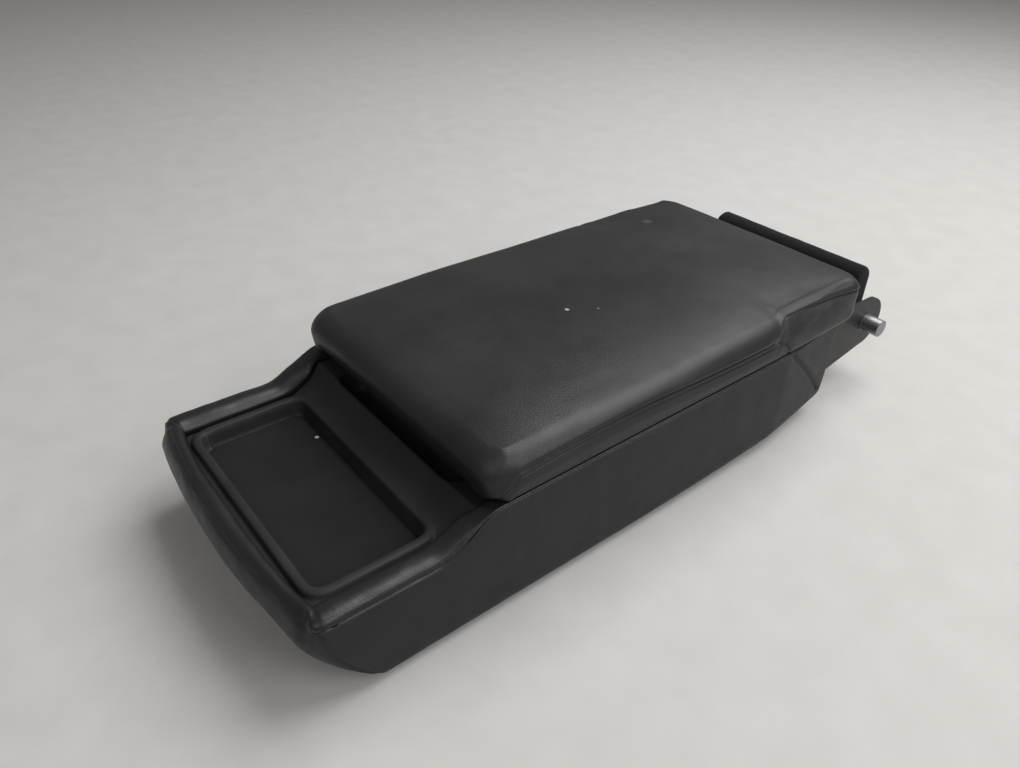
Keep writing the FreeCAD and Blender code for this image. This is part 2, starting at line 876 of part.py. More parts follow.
def make_lid_hinges():
    """Two pairs of hinge: a clevis on the base, a pin, and an arm under the lid."""
    bore = d.hinge_pin_radius + d.running_gap
    ear_round = d.knuckle_radius + d.running_gap * 10
    for side, word in ((-1, "left"), (1, "right")):
        middle = hinge_x * side
        foot = new_body("hinge_bracket_" + word)
        pad(
            foot, "XY_Plane", foot_low,
            rectangle(
                middle - d.hinge_foot_width / 2, base_end,
                middle + d.hinge_foot_width / 2, base_end + d.hinge_plate,
            ),
            d.hinge_foot_depth - d.hinge_drop / 2,
        )
        ear = [
            (base_end, foot_low),
            (hinge_y, hinge_z - ear_round, ear_round),
            (hinge_y + ear_round, hinge_z, ear_round),
            (hinge_y, hinge_z + ear_round),
            (hinge_y - ear_round, hinge_z),
            (hinge_y - ear_round, hinge_z - d.hinge_drop / 2),
            (base_end, hinge_z - d.hinge_drop / 2),
        ]
        reach = d.knuckle_width / 2 + d.clearance
        for start in (middle + reach, middle - reach - d.hinge_plate):
            pad(foot, "YZ_Plane", start, ear, d.hinge_plate)
        drill(foot, "YZ_Plane", middle, [(hinge_y, hinge_z)], bore, d.hinge_foot_width)
        places = [p for p in foot_screw_places if p[0].value * side > 0]
        drill(
            foot, "XZ_Plane", -base_end, places, d.screw_radius + d.hole_gap, d.hinge_plate * 4,
        )
        pin_reach = reach + d.hinge_plate + d.hinge_pin_radius / 2
        node(
            rod("X", middle - pin_reach, hinge_y, hinge_z, d.hinge_pin_radius, pin_reach * 2),
            "hinge_pin_" + word,
        )
        make_hinge_arm(middle, side, word, bore)


def make_hinge_arm(middle, side, word, bore):
    """Steel strap under the lid, narrowing to the knuckle that turns on the pin."""
    arm = new_body("lid_hinge_arm_" + word)
    low = lid_bottom - d.hinge_plate
    knuckle = d.knuckle_radius
    pad(
        arm, "XY_Plane", low,
        rounded(
            middle - d.arm_width / 2, arm_front, middle + d.arm_width / 2,
            arm_front + d.arm_length, d.screw_head,
        ),
        d.hinge_plate,
    )
    pad(
        arm, "XY_Plane", low,
        rectangle(
            middle - d.knuckle_width / 2, arm_front + d.arm_length - d.screw_head,
            middle + d.knuckle_width / 2, hinge_y,
        ),
        d.hinge_plate,
    )
    eye = ring(new_sketch(arm, "YZ_Plane", middle - d.knuckle_width / 2), hinge_y, hinge_z, knuckle)
    extrude("Pad", arm, eye, d.knuckle_width)
    drill(arm, "YZ_Plane", middle, [(hinge_y, hinge_z)], bore, d.arm_width)
    places = [p for p in arm_screw_places if p[0].value * side > 0]
    drill(arm, "XY_Plane", low, places, d.screw_radius + d.hole_gap, d.hinge_plate * 4)


def make_pivot():
    """Two steel brackets behind the base, the stepped shaft between them and its felt roll."""
    for side, word in ((-1, "left"), (1, "right")):
        body = new_body("pivot_bracket_" + word)
        start = web_inner if side > 0 else -web_outer
        pad(
            body, "YZ_Plane", start,
            [
                (base_end, d.bracket_low),
                (pivot_y, d.pivot_height - d.pivot_eye, d.pivot_eye),
                (pivot_y + d.pivot_eye, d.pivot_height, d.pivot_eye),
                (pivot_y, d.pivot_height + d.pivot_eye),
                (base_end, d.bracket_high),
            ],
            d.bracket_plate,
        )
        inner = web_inner - d.bracket_foot
        ends = (inner, web_inner + d.bracket_plate / 2)
        if side < 0:
            ends = (-ends[1], -ends[0])
        pad(
            body, "XY_Plane", d.bracket_low,
            rectangle(ends[0], base_end, ends[1], base_end + d.bracket_plate),
            bracket_foot_height,
        )
        places = [p for p in bolt_places if p[0].value * side > 0]
        drill(
            body, "XZ_Plane", -base_end, places, d.bolt_radius + d.hole_gap, d.bracket_plate * 4,
        )
        drill(
            body, "YZ_Plane", web_outer * side, [(pivot_y, d.pivot_height)],
            d.collar_radius + d.running_gap, d.bracket_plate * 4,
        )
    shaft = fuse([
        rod("X", -web_inner, pivot_y, d.pivot_height, d.shaft_radius, web_inner * 2),
        rod("X", -web_outer, pivot_y, d.pivot_height, d.collar_radius, web_outer * 2),
        rod(
            "X", -web_outer - d.stub_length, pivot_y, d.pivot_height, d.stub_radius,
            (web_outer + d.stub_length) * 2,
        ),
    ])
    node(shaft, "pivot_shaft")
    roll = new_body("felt_roll")
    high = d.pivot_height + d.felt_roll_rise
    radius = d.felt_roll_radius
    pad(
        roll, "YZ_Plane", ZERO,
        [
            (pivot_y - radius, d.pivot_height, radius), (pivot_y, d.pivot_height - radius, radius),
            (pivot_y + radius, d.pivot_height), (pivot_y + radius, high, radius),
            (pivot_y, high + radius, radius), (pivot_y - radius, high),
        ],
        roll_half * 2, both=True,
    )
    drill(
        roll, "YZ_Plane", ZERO, [(pivot_y, d.pivot_height)],
        d.shaft_radius + d.running_gap, d.base_width,
    )


def make_fasteners():
    """Hexagon bolts of the brackets, and the round-headed screws of the hinges."""
    bolts = []
    for x, z in bolt_places:
        seat = base_end + d.bracket_plate
        length = d.bracket_plate + skin + d.carrier_wall * 2
        shank = rod("Y", x, seat - length, z, d.bolt_radius, length + d.bolt_head_height / 2)
        bolts.append(fuse([shank, hexagon(x, seat, z, d.bolt_head, d.bolt_head_height)]))
    node(group(bolts), "bracket_bolts")
    screws = []
    for x, z in foot_screw_places:
        seat = base_end + d.hinge_plate
        length = d.hinge_plate + skin + d.carrier_wall * 2
        shank = rod("Y", x, seat - length, z, d.screw_radius, length + d.screw_head_height / 2)
        screws.append(fuse([shank, rod("Y", x, seat, z, d.screw_head, d.screw_head_height)]))
    node(group(screws), "hinge_screws")
    screws = []
    low = lid_bottom - d.hinge_plate
    for x, y in arm_screw_places:
        length = d.hinge_plate + d.liner_thickness + d.clearance + d.board_thickness
        head = rod("Z", x, y, low - d.screw_head_height, d.screw_head, d.screw_head_height)
        shank = rod("Z", x, y, low - d.screw_head_height / 2, d.screw_radius, length)
        screws.append(fuse([shank, head]))
    node(group(screws), "arm_screws")


def make_paddle():
    """Release paddle with its hook, the pin that it turns on and the coil that returns it."""
    body = new_body("release_paddle")
    low = paddle_top - d.paddle_thickness
    tail = paddle_y + d.paddle_tail
    pad(
        body, "YZ_Plane", ZERO,
        [
            (paddle_y - d.paddle_reach, low), (tail, low), (tail, paddle_top),
            (paddle_y - d.paddle_reach, paddle_top),
        ],
        d.paddle_width, both=True,
    )
    for start in (paddle_half - d.hub_width, -paddle_half):
        pad(
            body, "YZ_Plane", start,
            [
                (paddle_y - d.hub_radius, low), (paddle_y + d.hub_radius, low),
                (paddle_y + d.hub_radius, paddle_z, d.hub_radius),
                (paddle_y, paddle_z + d.hub_radius, d.hub_radius),
                (paddle_y - d.hub_radius, paddle_z),
            ],
            d.hub_width,
        )
    stem = tail - d.paddle_thickness
    bottom = paddle_z - d.hook_drop
    pad(
        body, "YZ_Plane", ZERO,
        [
            (stem, bottom), (hook_end - d.hook_barb, bottom), (hook_end, bottom + d.hook_barb / 2),
            (hook_end, bottom + d.hook_barb), (tail, bottom + d.hook_barb),
            (tail, paddle_top), (stem, paddle_top),
        ],
        d.hook_width, both=True,
    )
    bore = d.paddle_pin_radius + d.running_gap
    drill(body, "YZ_Plane", ZERO, [(paddle_y, paddle_z)], bore, d.base_width)
    pin_half = paddle_half + d.clearance + d.ear_width
    node(rod("X", -pin_half, paddle_y, paddle_z, d.paddle_pin_radius, pin_half * 2), "paddle_pin")


def make_spring():
    """Coil round the paddle's pin, between the paddle's two hubs."""
    length, turns = d.spring_length.value, d.spring_turns.value
    radius, wire = d.spring_radius.value, d.spring_wire.value
    helix = Part.makeHelix(length / turns, length, radius)
    section = Part.Wire(Part.makeCircle(wire, FreeCAD.Vector(radius, 0, 0), FreeCAD.Vector(0, 1, 0)))
    spring = doc.addObject("Part::Feature", "Spring")
    spring.Shape = Part.Wire(helix.Edges).makePipeShell([section], True, True)
    spring.Placement = FreeCAD.Placement(
        FreeCAD.Vector(-length / 2, paddle_y.value, paddle_z.value),
        FreeCAD.Rotation(FreeCAD.Vector(0, 1, 0), 90),
    )
    node(spring, "paddle_spring")


def make_stops():
    """Four rubber stops that the closed lid comes down on."""
    stops = []
    rear_stop = base_end - d.rear_stop_inset
    for y, seat in ((front + d.front_stop_back, ledge), (rear_stop, deck)):
        for side in (-1, 1):
            x = (half - d.stop_inset) * side
            stops.append(rod("Z", x, y, seat, d.stop_radius, lid_bottom - d.clearance - seat))
    node(group(stops), "bump_stops")


def check_document():
    """Stops with a message if anything in the document failed or is not a sound solid."""
    for item in doc.Objects:
        if "Invalid" in item.State or "Error" in item.State:
            raise RuntimeError("%s (%s) failed: %s" % (item.Name, item.Label, item.State))
    for item in NODES:
        if item.Shape.isNull() or not item.Shape.isValid() or not item.Shape.Solids:
            raise RuntimeError("%s is not a sound solid" % item.Label)


def write_parts():
    """Writes each sub-part to a file of its own name."""
    os.makedirs("parts", exist_ok=True)
    for item in NODES:
        item.Shape.exportStep("parts/%s.step" % item.Label)
        print("%-24s solids %d  volume %.0f" % (item.Label, len(item.Shape.Solids), item.Shape.Volume))


make_base_upholstery()
make_carrier()
make_tray()
make_bin()
make_striker()
make_lid_upholstery()
make_lid_frame()
make_lid_hinges()
make_pivot()
make_fasteners()
make_paddle()
make_spring()
make_stops()
doc.recompute()
check_document()
write_parts()
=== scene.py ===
"""Looks of a rear seat armrest: padded leather lid over a leather base with a moulded tray."""

import json
import logging
import math
from dataclasses import dataclass
from enum import Enum
from typing import Callable, Optional

import bmesh
import bpy
import numpy as np
from bpy.types import Material, Mesh, Node, NodeSocket, NodeTree, Object
from mathutils import Matrix, Vector, noise


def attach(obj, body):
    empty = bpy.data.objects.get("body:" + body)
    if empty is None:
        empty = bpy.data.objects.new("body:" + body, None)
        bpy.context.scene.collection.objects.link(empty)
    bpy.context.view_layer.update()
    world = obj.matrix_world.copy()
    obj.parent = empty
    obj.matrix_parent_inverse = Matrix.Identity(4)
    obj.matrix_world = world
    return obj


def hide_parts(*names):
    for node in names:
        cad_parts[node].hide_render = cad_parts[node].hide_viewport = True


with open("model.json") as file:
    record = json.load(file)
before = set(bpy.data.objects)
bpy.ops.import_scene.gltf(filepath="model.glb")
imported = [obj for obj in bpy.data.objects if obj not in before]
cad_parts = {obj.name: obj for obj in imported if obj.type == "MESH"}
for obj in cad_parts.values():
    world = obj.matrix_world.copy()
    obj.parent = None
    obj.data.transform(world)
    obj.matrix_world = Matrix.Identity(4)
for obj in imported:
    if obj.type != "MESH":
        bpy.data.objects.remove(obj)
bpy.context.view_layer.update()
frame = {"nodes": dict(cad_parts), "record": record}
LOG = logging.getLogger("armrest")
MM = 0.001
Array = np.ndarray
Triple = tuple[float, float, float]


# Small shared sums

def ease(value: Array, low: float, high: float) -> Array:
    """Smooth step from 0 at low to 1 at high.

    Args:
        value: Numbers to step.
        low: Where the step starts.
        high: Where it ends.

    Returns:
        The stepped numbers.
    """
    t = np.clip((np.asarray(value, float) - low) / (high - low), 0.0, 1.0)
    return t * t * (3.0 - 2.0 * t)


def dent(distance: Array, width: float) -> Array:
    """Bell-shaped weight of a crease that is width wide."""
    return np.exp(-((np.asarray(distance, float) / width) ** 2))


def path_distance(a: Array, b: Array, path: list[tuple[float, float]]) -> Array:
    """Distance of points to an open path in a plane.

    Args:
        a: First coordinates of the points.
        b: Second coordinates of the points.
        path: Corners of the path.

    Returns:
        The shortest distance of each point.
    """
    best = np.full(np.shape(a), 1e9)
    for (a0, b0), (a1, b1) in zip(path[:-1], path[1:]):
        da, db = a1 - a0, b1 - b0
        t = np.clip(((a - a0) * da + (b - b0) * db) / (da * da + db * db), 0.0, 1.0)
        best = np.minimum(best, np.hypot(a - a0 - t * da, b - b0 - t * db))
    return best


def ripple(points: Array, stretch: Triple, seed: float) -> Array:
    """Smooth fractal ripple over a grid of points.

    Args:
        points: Points in millimetres, any shape that ends in 3.
        stretch: Length of the ripples along X, Y and Z in millimetres.
        seed: Shift that makes one ripple differ from another.

    Returns:
        Values of about -1 to 1, one for each point.
    """
    flat = points.reshape(-1, 3) / np.array(stretch) + seed
    values = [noise.fractal(Vector(p), 0.9, 2.1, 3) for p in flat]
    return np.array(values).reshape(points.shape[:-1])


# Meshes

def half_outline(corners: list[Triple]) -> Array:
    """Fine right half of a plan outline, from the rear middle to the front middle.

    Args:
        corners: Points (x, y, corner radius) of the right half; the ends lie on x = 0.

    Returns:
        Points along the outline.
    """
    line = [np.array(corners[0][:2], float)]
    for before, here, after in zip(corners[:-2], corners[1:-1], corners[2:]):
        p0, p1, p2 = (np.array(p[:2], float) for p in (before, here, after))
        u = (p0 - p1) / np.linalg.norm(p0 - p1)
        v = (p2 - p1) / np.linalg.norm(p2 - p1)
        turn = math.acos(float(np.clip(u @ v, -1.0, 1.0)))
        reach = here[2] / math.tan(turn / 2)
        middle = p1 + (u + v) / np.linalg.norm(u + v) * here[2] / math.sin(turn / 2)
        first = p1 + u * reach - middle
        last = p1 + v * reach - middle
        angle = math.atan2(first[0] * last[1] - first[1] * last[0], first @ last)
        for t in np.linspace(0.0, angle, 24):
            c, s = math.cos(t), math.sin(t)
            line.append(middle + np.array([c * first[0] - s * first[1], s * first[0] + c * first[1]]))
    line.append(np.array(corners[-1][:2], float))
    return np.array(line)


def mirrored_columns(
    half: Array, spacing: Callable[[Array], Array]
) -> tuple[Array, Array]:
    """Closed plan line with its outward normals, the same on both sides of x = 0.

    Args:
        half: Right half of the line, from the rear middle to the front middle.
        spacing: Wished distance between columns at each point of the line.

    Returns:
        Points and normals, one row for each column.
    """
    steps = np.linalg.norm(np.diff(half, axis=0), axis=1)
    run = np.concatenate([[0.0], np.cumsum(steps)])
    fine = np.linspace(0.0, run[-1], 6000)
    line = np.stack([np.interp(fine, run, half[:, i]) for i in (0, 1)], axis=1)
    weight = np.concatenate([[0.0], np.cumsum(1.0 / spacing(line)[1:] * np.diff(fine))])
    count = int(weight[-1])
    marks = np.interp(np.linspace(0.0, weight[-1], count + 1), weight, fine)
    right = np.stack([np.interp(marks, fine, line[:, i]) for i in (0, 1)], axis=1)
    right[[0, -1], 0] = 0.0
    left = right[-2:0:-1] * np.array([-1.0, 1.0])
    plan = np.concatenate([right, left])
    along = np.roll(plan, -1, 0) - np.roll(plan, 1, 0)
    normal = np.stack([-along[:, 1], along[:, 0]], axis=1)
    normal /= np.linalg.norm(normal, axis=1, keepdims=True)
    if np.mean(np.sum(normal * (plan - plan.mean(0)), axis=1)) < 0:
        normal = -normal
    return plan, normal


def grid_normals(points: Array) -> Array:
    """Outward normals of a grid of rows that are closed in the second direction."""
    across = np.roll(points, -1, 1) - np.roll(points, 1, 1)
    along = np.gradient(points, axis=0)
    normal = np.cross(across, along)
    size = np.linalg.norm(normal, axis=2, keepdims=True)
    normal /= np.maximum(size, 1e-9)
    middle = points.reshape(-1, 3).mean(0)
    if np.sum(normal * (points - middle)) < 0:
        normal = -normal
    return normal


def put_object(name: str, mesh: Mesh, finishes: list[Material]) -> Object:
    """Links a mesh as an object of the scene with its materials."""
    item = bpy.data.objects.new(name, mesh)
    bpy.context.scene.collection.objects.link(item)
    for finish in finishes:
        mesh.materials.append(finish)
    return item


def grid_object(
    name: str, points: Array, finishes: list[Material], zones: Optional[Array] = None
) -> Object:
    """Closed smooth skin from rows of points; its first and last rows close on themselves.

    Args:
        name: Name of the object.
        points: Rows of points in millimetres, each row a closed loop.
        finishes: Materials of the zones.
        zones: Material number of each cell of the grid, if there is more than one.

    Returns:
        The new object, in metres.
    """
    rows, columns = points.shape[:2]
    index = np.arange(rows * columns).reshape(rows, columns)
    after = np.roll(index, -1, 1)
    quads = np.stack([index[:-1], after[:-1], after[1:], index[1:]], axis=-1).reshape(-1, 4)
    mesh = bpy.data.meshes.new(name)
    mesh.from_pydata((points.reshape(-1, 3) * MM).tolist(), [], quads.tolist())
    if zones is not None:
        mesh.polygons.foreach_set("material_index", zones.reshape(-1).astype(np.int32))
    work = bmesh.new()
    work.from_mesh(mesh)
    bmesh.ops.remove_doubles(work, verts=work.verts, dist=2e-6)
    bmesh.ops.recalc_face_normals(work, faces=work.faces)
    for face in work.faces:
        face.smooth = True
    work.to_mesh(mesh)
    work.free()
    return put_object(name, mesh, finishes)


def stitch_row(
    name: str, path: Array, normals: Array, pitch: float, length: float, radius: float,
    finish: Material,
) -> Object:
    """Row of short sunk thread stitches along a path.

    Args:
        name: Name of the object.
        path: Points of the path in millimetres.
        normals: Surface normals along the path.
        pitch: Distance from one stitch to the next.
        length: Length of a stitch.
        radius: Thickness of the thread's half.
        finish: Material of the thread.

    Returns:
        The new object.
    """
    run = np.concatenate([[0.0], np.cumsum(np.linalg.norm(np.diff(path, axis=0), axis=1))])

    def at(values: Array, where: float) -> Array:
        """Value along the path."""
        return np.array([np.interp(where, run, values[:, i]) for i in range(3)])

    verts: list[list[float]] = []
    faces: list[list[int]] = []
    sides = 6
    for start in np.arange(pitch / 2, run[-1] - length, pitch):
        up = at(normals, start + length / 2)
        up /= np.linalg.norm(up)
        first = len(verts)
        for part, lift, thick in ((0.0, -0.6, 0.55), (0.2, 0.05, 0.95), (0.8, 0.05, 0.95), (1.0, -0.6, 0.55)):
            centre = at(path, start + length * part) + up * radius * lift
            ahead = at(path, start + length * part + 0.2) - at(path, start + length * part - 0.2)
            ahead /= np.linalg.norm(ahead)
            aside = np.cross(ahead, up)
            for k in range(sides):
                turn = 2 * math.pi * k / sides
                spot = centre + (aside * math.cos(turn) + up * math.sin(turn)) * radius * thick
                verts.append((spot * MM).tolist())
        for ring in range(3):
            for k in range(sides):
                a = first + ring * sides + k
                b = first + ring * sides + (k + 1) % sides
                faces.append([a, b, b + sides, a + sides])
        faces.append([first + k for k in reversed(range(sides))])
        faces.append([first + 3 * sides + k for k in range(sides)])
    mesh = bpy.data.meshes.new(name)
    mesh.from_pydata(verts, [], faces)
    mesh.polygons.foreach_set("use_smooth", np.ones(len(faces), bool))
    return put_object(name, mesh, [finish])


# Shader groups and finishes

class Effect(Enum):
    """Surface effects that several finishes share."""

    GRAIN = "leather_grain"
    STIPPLE = "moulded_stipple"
    FIBRE = "felt_fibre"
    MARK = "scuff_mark"


class Nodes:
    """A node tree with short calls to add and join its nodes."""

    def __init__(self, tree: NodeTree) -> None:
        """Keeps the tree."""
        self.tree = tree

    def add(
        self, kind: str, given: Optional[dict[str, object]] = None, **values: object
    ) -> Node:
        """Adds a node.

        Args:
            kind: Type of the node.
            given: Values or sockets for its inputs, by name.
            values: Its plain properties.

        Returns:
            The new node.
        """
        item = self.tree.nodes.new("ShaderNode" + kind)
        for name, value in values.items():
            setattr(item, name, value)
        for name, value in (given or {}).items():
            self.join(value, item.inputs[name])
        return item

    def join(self, source: object, target: NodeSocket) -> None:
        """Links a socket to an input, or sets the input to a plain value."""
        if isinstance(source, NodeSocket):
            self.tree.links.new(source, target)
        else:
            target.default_value = source

    def cloud(self, vector: NodeSocket, scale: float, detail: float) -> NodeSocket:
        """Adds a noise texture and returns its value."""
        return self.add("TexNoise", {"Scale": scale, "Detail": detail, "Vector": vector}).outputs[0]

    def sum(self, how: str, a: object, b: object) -> NodeSocket:
        """Adds a math node of two values or sockets and returns its value."""
        item = self.add("Math", operation=how)
        self.join(a, item.inputs[0])
        self.join(b, item.inputs[1])
        return item.outputs[0]

    def span(
        self, value: NodeSocket, low: float, high: float, to_low: float, to_high: float
    ) -> NodeSocket:
        """Maps a range of values to another and returns the result."""
        names = ("Value", "From Min", "From Max", "To Min", "To Max")
        return self.add("MapRange", dict(zip(names, (value, low, high, to_low, to_high)))).outputs[0]


class Effects:
    """Builds each shared effect once, as a node group."""

    def __init__(self) -> None:
        """Builds the groups."""
        self.groups = {
            Effect.GRAIN: self.grain(),
            Effect.STIPPLE: self.stipple(),
            Effect.FIBRE: self.fibre(),
            Effect.MARK: self.mark(),
        }

    def start(
        self, effect: Effect, inputs: list[tuple[str, float]], outputs: list[str]
    ) -> tuple[Nodes, dict[str, NodeSocket], Node]:
        """Makes an empty group.

        Args:
            effect: Which effect it is.
            inputs: Names and defaults of its number inputs, beside the Vector.
            outputs: Names of its values.

        Returns:
            Its nodes, its input sockets by name and its output node.
        """
        tree = bpy.data.node_groups.new(effect.value, "ShaderNodeTree")
        tree.interface.new_socket("Vector", in_out="INPUT", socket_type="NodeSocketVector")
        for name, value in inputs:
            socket = tree.interface.new_socket(name, in_out="INPUT", socket_type="NodeSocketFloat")
            socket.default_value = value
        for name in outputs:
            tree.interface.new_socket(name, in_out="OUTPUT", socket_type="NodeSocketFloat")
        nodes = Nodes(tree)
        source = tree.nodes.new("NodeGroupInput")
        target = tree.nodes.new("NodeGroupOutput")
        return nodes, {s.name: s for s in source.outputs}, target

    def grain(self) -> NodeTree:
        """Pebbled hide with fine creases; Height, Shade and Gloss vary over it."""
        n, given, out = self.start(
            Effect.GRAIN, [("Pebble", 900.0), ("Crease", 0.5)], ["Height", "Shade", "Gloss"]
        )
        cells = n.add("TexVoronoi", {
            "Smoothness": 0.6, "Vector": given["Vector"], "Scale": given["Pebble"],
        }, feature="SMOOTH_F1")
        ridge = n.add("TexNoise", {
            "Scale": 95.0, "Detail": 4.0, "Vector": given["Vector"],
        }, noise_type="RIDGED_MULTIFRACTAL")
        fold = n.sum("MULTIPLY", ridge.outputs[0], given["Crease"])
        pebble = n.sum("SUBTRACT", 1.0, cells.outputs["Distance"])
        n.join(n.sum("SUBTRACT", pebble, n.sum("MULTIPLY", fold, 0.35)), out.inputs["Height"])
        broad = n.cloud(given["Vector"], 11.0, 3.0)
        n.join(broad, out.inputs["Shade"])
        fleck = n.cloud(given["Vector"], 60.0, 2.0)
        n.join(n.sum("MULTIPLY", n.sum("ADD", broad, fleck), 0.5), out.inputs["Gloss"])
        return n.tree

    def stipple(self) -> NodeTree:
        """Spark-eroded texture of a moulding; Height and Gloss vary over it."""
        n, given, out = self.start(Effect.STIPPLE, [("Grit", 2200.0)], ["Height", "Gloss"])
        fine = n.add("TexNoise", {"Detail": 2.0, "Vector": given["Vector"], "Scale": given["Grit"]})
        n.join(fine.outputs[0], out.inputs["Height"])
        n.join(n.cloud(given["Vector"], 28.0, 3.0), out.inputs["Gloss"])
        return n.tree

    def fibre(self) -> NodeTree:
        """Matted fibres of felt; Height and Shade vary over it."""
        n, given, out = self.start(Effect.FIBRE, [("Fineness", 700.0)], ["Height", "Shade"])
        warp = n.add("TexNoise", {
            "Detail": 5.0, "Distortion": 1.6, "Vector": given["Vector"], "Scale": given["Fineness"],
        }, noise_type="RIDGED_MULTIFRACTAL")
        n.join(warp.outputs[0], out.inputs["Height"])
        n.join(n.cloud(given["Vector"], 160.0, 4.0), out.inputs["Shade"])
        return n.tree

    def mark(self) -> NodeTree:
        """One rubbed spot with a ragged edge; Mask is 1 in its middle."""
        n, _, out = self.start(Effect.MARK, [("Size", 0.002)], ["Mask"])
        n.tree.interface.new_socket("Place", in_out="INPUT", socket_type="NodeSocketVector")
        given = {s.name: s for s in n.tree.nodes["Group Input"].outputs}
        gap = n.add("VectorMath", operation="DISTANCE")
        n.join(given["Vector"], gap.inputs[0])
        n.join(given["Place"], gap.inputs[1])
        fray = n.sum("ADD", n.cloud(given["Vector"], 900.0, 3.0), 0.5)
        ragged = n.sum("MULTIPLY", gap.outputs["Value"], fray)
        n.join(n.span(n.sum("DIVIDE", ragged, given["Size"]), 0.7, 1.1, 1.0, 0.0), out.inputs["Mask"])
        return n.tree


RUBBED = (0.5, 0.48, 0.45, 1.0)


@dataclass(frozen=True)
class Finish:
    """A finish: its colours, gloss and the effect that gives its texture.

    Each mark is a rubbed spot: its place and size in millimetres, and its strength.
    """

    name: str
    effect: Effect
    dark: Triple
    light: Triple
    rough: tuple[float, float]
    scale: float
    bump: float
    depth: float
    metallic: float = 0.0
    specular: float = 0.5
    sheen: float = 0.0
    crease: float = 0.5
    marks: tuple[tuple[float, float, float, float, float], ...] = ()

    def make(self, effects: Effects) -> Material:
        """Makes the material.

        Args:
            effects: The shared groups.

        Returns:
            The finished material.
        """
        material = bpy.data.materials.new(self.name)
        material.use_nodes = True
        n = Nodes(material.node_tree)
        shader = material.node_tree.nodes["Principled BSDF"]
        place = n.add("TexCoord").outputs["Object"]
        group = n.add("Group", node_tree=effects.groups[self.effect])
        n.join(place, group.inputs["Vector"])
        n.join(self.scale, group.inputs[1])
        if self.effect is Effect.GRAIN:
            n.join(self.crease, group.inputs["Crease"])
        names = [s.name for s in group.outputs]
        shade = group.outputs["Shade"] if "Shade" in names else group.outputs["Gloss"]
        gloss = group.outputs["Gloss"] if "Gloss" in names else group.outputs["Shade"]
        tint = n.add("Mix", {
            "A": (*self.dark, 1.0), "B": (*self.light, 1.0), "Factor": n.span(shade, 0.3, 0.75, 0.0, 1.0),
        }, data_type="RGBA")
        colour = tint.outputs["Result"]
        for x, y, z, size, strength in self.marks:
            spot = n.add("Group", node_tree=effects.groups[Effect.MARK])
            for name, value in (("Place", (x * MM, y * MM, z * MM)), ("Size", size * MM), ("Vector", place)):
                n.join(value, spot.inputs[name])
            over = n.add("Mix", {
                "A": colour, "B": RUBBED, "Factor": n.sum("MULTIPLY", spot.outputs["Mask"], strength),
            }, data_type="RGBA")
            colour = over.outputs["Result"]
        relief = n.add("Bump", {
            "Strength": self.bump, "Distance": self.depth, "Height": group.outputs["Height"],
        })
        settings = {
            "Base Color": colour, "Roughness": n.span(gloss, 0.3, 0.7, *self.rough),
            "Normal": relief.outputs["Normal"], "Metallic": self.metallic,
            "Specular IOR Level": self.specular, "Sheen Weight": self.sheen,
        }
        for name, value in settings.items():
            n.join(value, shader.inputs[name])
        return material


FINISHES = (
    Finish("lid_leather", Effect.GRAIN, dark=(0.010, 0.010, 0.011), light=(0.020, 0.020, 0.021),
        rough=(0.36, 0.50), scale=1000.0, bump=0.35, depth=0.0003, specular=0.32,
        marks=((12.2, -20.0, 135.4, 1.8, 0.6), (25.2, 0.0, 135.4, 0.9, 0.35),
               (-71.7, 153.7, 133.6, 5.0, 0.06))),
    Finish("side_leather", Effect.GRAIN, dark=(0.009, 0.009, 0.010), light=(0.016, 0.016, 0.017),
        rough=(0.46, 0.6), scale=1000.0, bump=0.35, depth=0.0003, specular=0.3),
    Finish("front_roll_leather", Effect.GRAIN, dark=(0.007, 0.007, 0.008), light=(0.014, 0.014, 0.015),
        rough=(0.32, 0.47), scale=1000.0, bump=0.3, depth=0.0003, crease=0.9, specular=0.4),
    Finish("black_moulding", Effect.STIPPLE, dark=(0.010, 0.010, 0.011), light=(0.016, 0.016, 0.017),
        rough=(0.45, 0.6), scale=1800.0, bump=0.25, depth=0.0002),
    Finish("tray_plastic", Effect.STIPPLE, dark=(0.012, 0.012, 0.013), light=(0.020, 0.020, 0.021),
        rough=(0.5, 0.64), scale=2200.0, bump=0.3, depth=0.0002, specular=0.26),
    Finish("mat_rubber", Effect.STIPPLE, dark=(0.008, 0.008, 0.009), light=(0.013, 0.013, 0.014),
        rough=(0.7, 0.85), scale=1500.0, bump=0.5, depth=0.0004, specular=0.2,
        marks=((-53.3, -204.7, 60.0, 1.6, 0.9),)),
    Finish("black_felt", Effect.FIBRE, dark=(0.002, 0.002, 0.002), light=(0.007, 0.007, 0.007),
        rough=(0.85, 1.0), scale=700.0, bump=0.9, depth=0.0009, specular=0.15, sheen=0.06),
    Finish("board", Effect.FIBRE, dark=(0.20, 0.13, 0.07), light=(0.32, 0.22, 0.13),
        rough=(0.7, 0.85), scale=500.0, bump=0.3, depth=0.0003, specular=0.3),
    Finish("black_steel", Effect.STIPPLE, dark=(0.010, 0.010, 0.011), light=(0.024, 0.024, 0.025),
        rough=(0.35, 0.5), scale=1500.0, bump=0.15, depth=0.0001, metallic=0.4),
    Finish("bright_steel", Effect.STIPPLE, dark=(0.26, 0.26, 0.27), light=(0.38, 0.38, 0.39),
        rough=(0.35, 0.5), scale=1800.0, bump=0.1, depth=0.0001, metallic=1.0),
    Finish("black_thread", Effect.FIBRE, dark=(0.010, 0.010, 0.011), light=(0.030, 0.030, 0.031),
        rough=(0.5, 0.7), scale=1500.0, bump=0.4, depth=0.0002, sheen=0.2),
    Finish("floor", Effect.STIPPLE, dark=(0.44, 0.428, 0.41), light=(0.47, 0.458, 0.44),
        rough=(0.75, 0.9), scale=300.0, bump=0.05, depth=0.0002, specular=0.2),
)


# Sub-assemblies

NECK_ROUND = 60.0


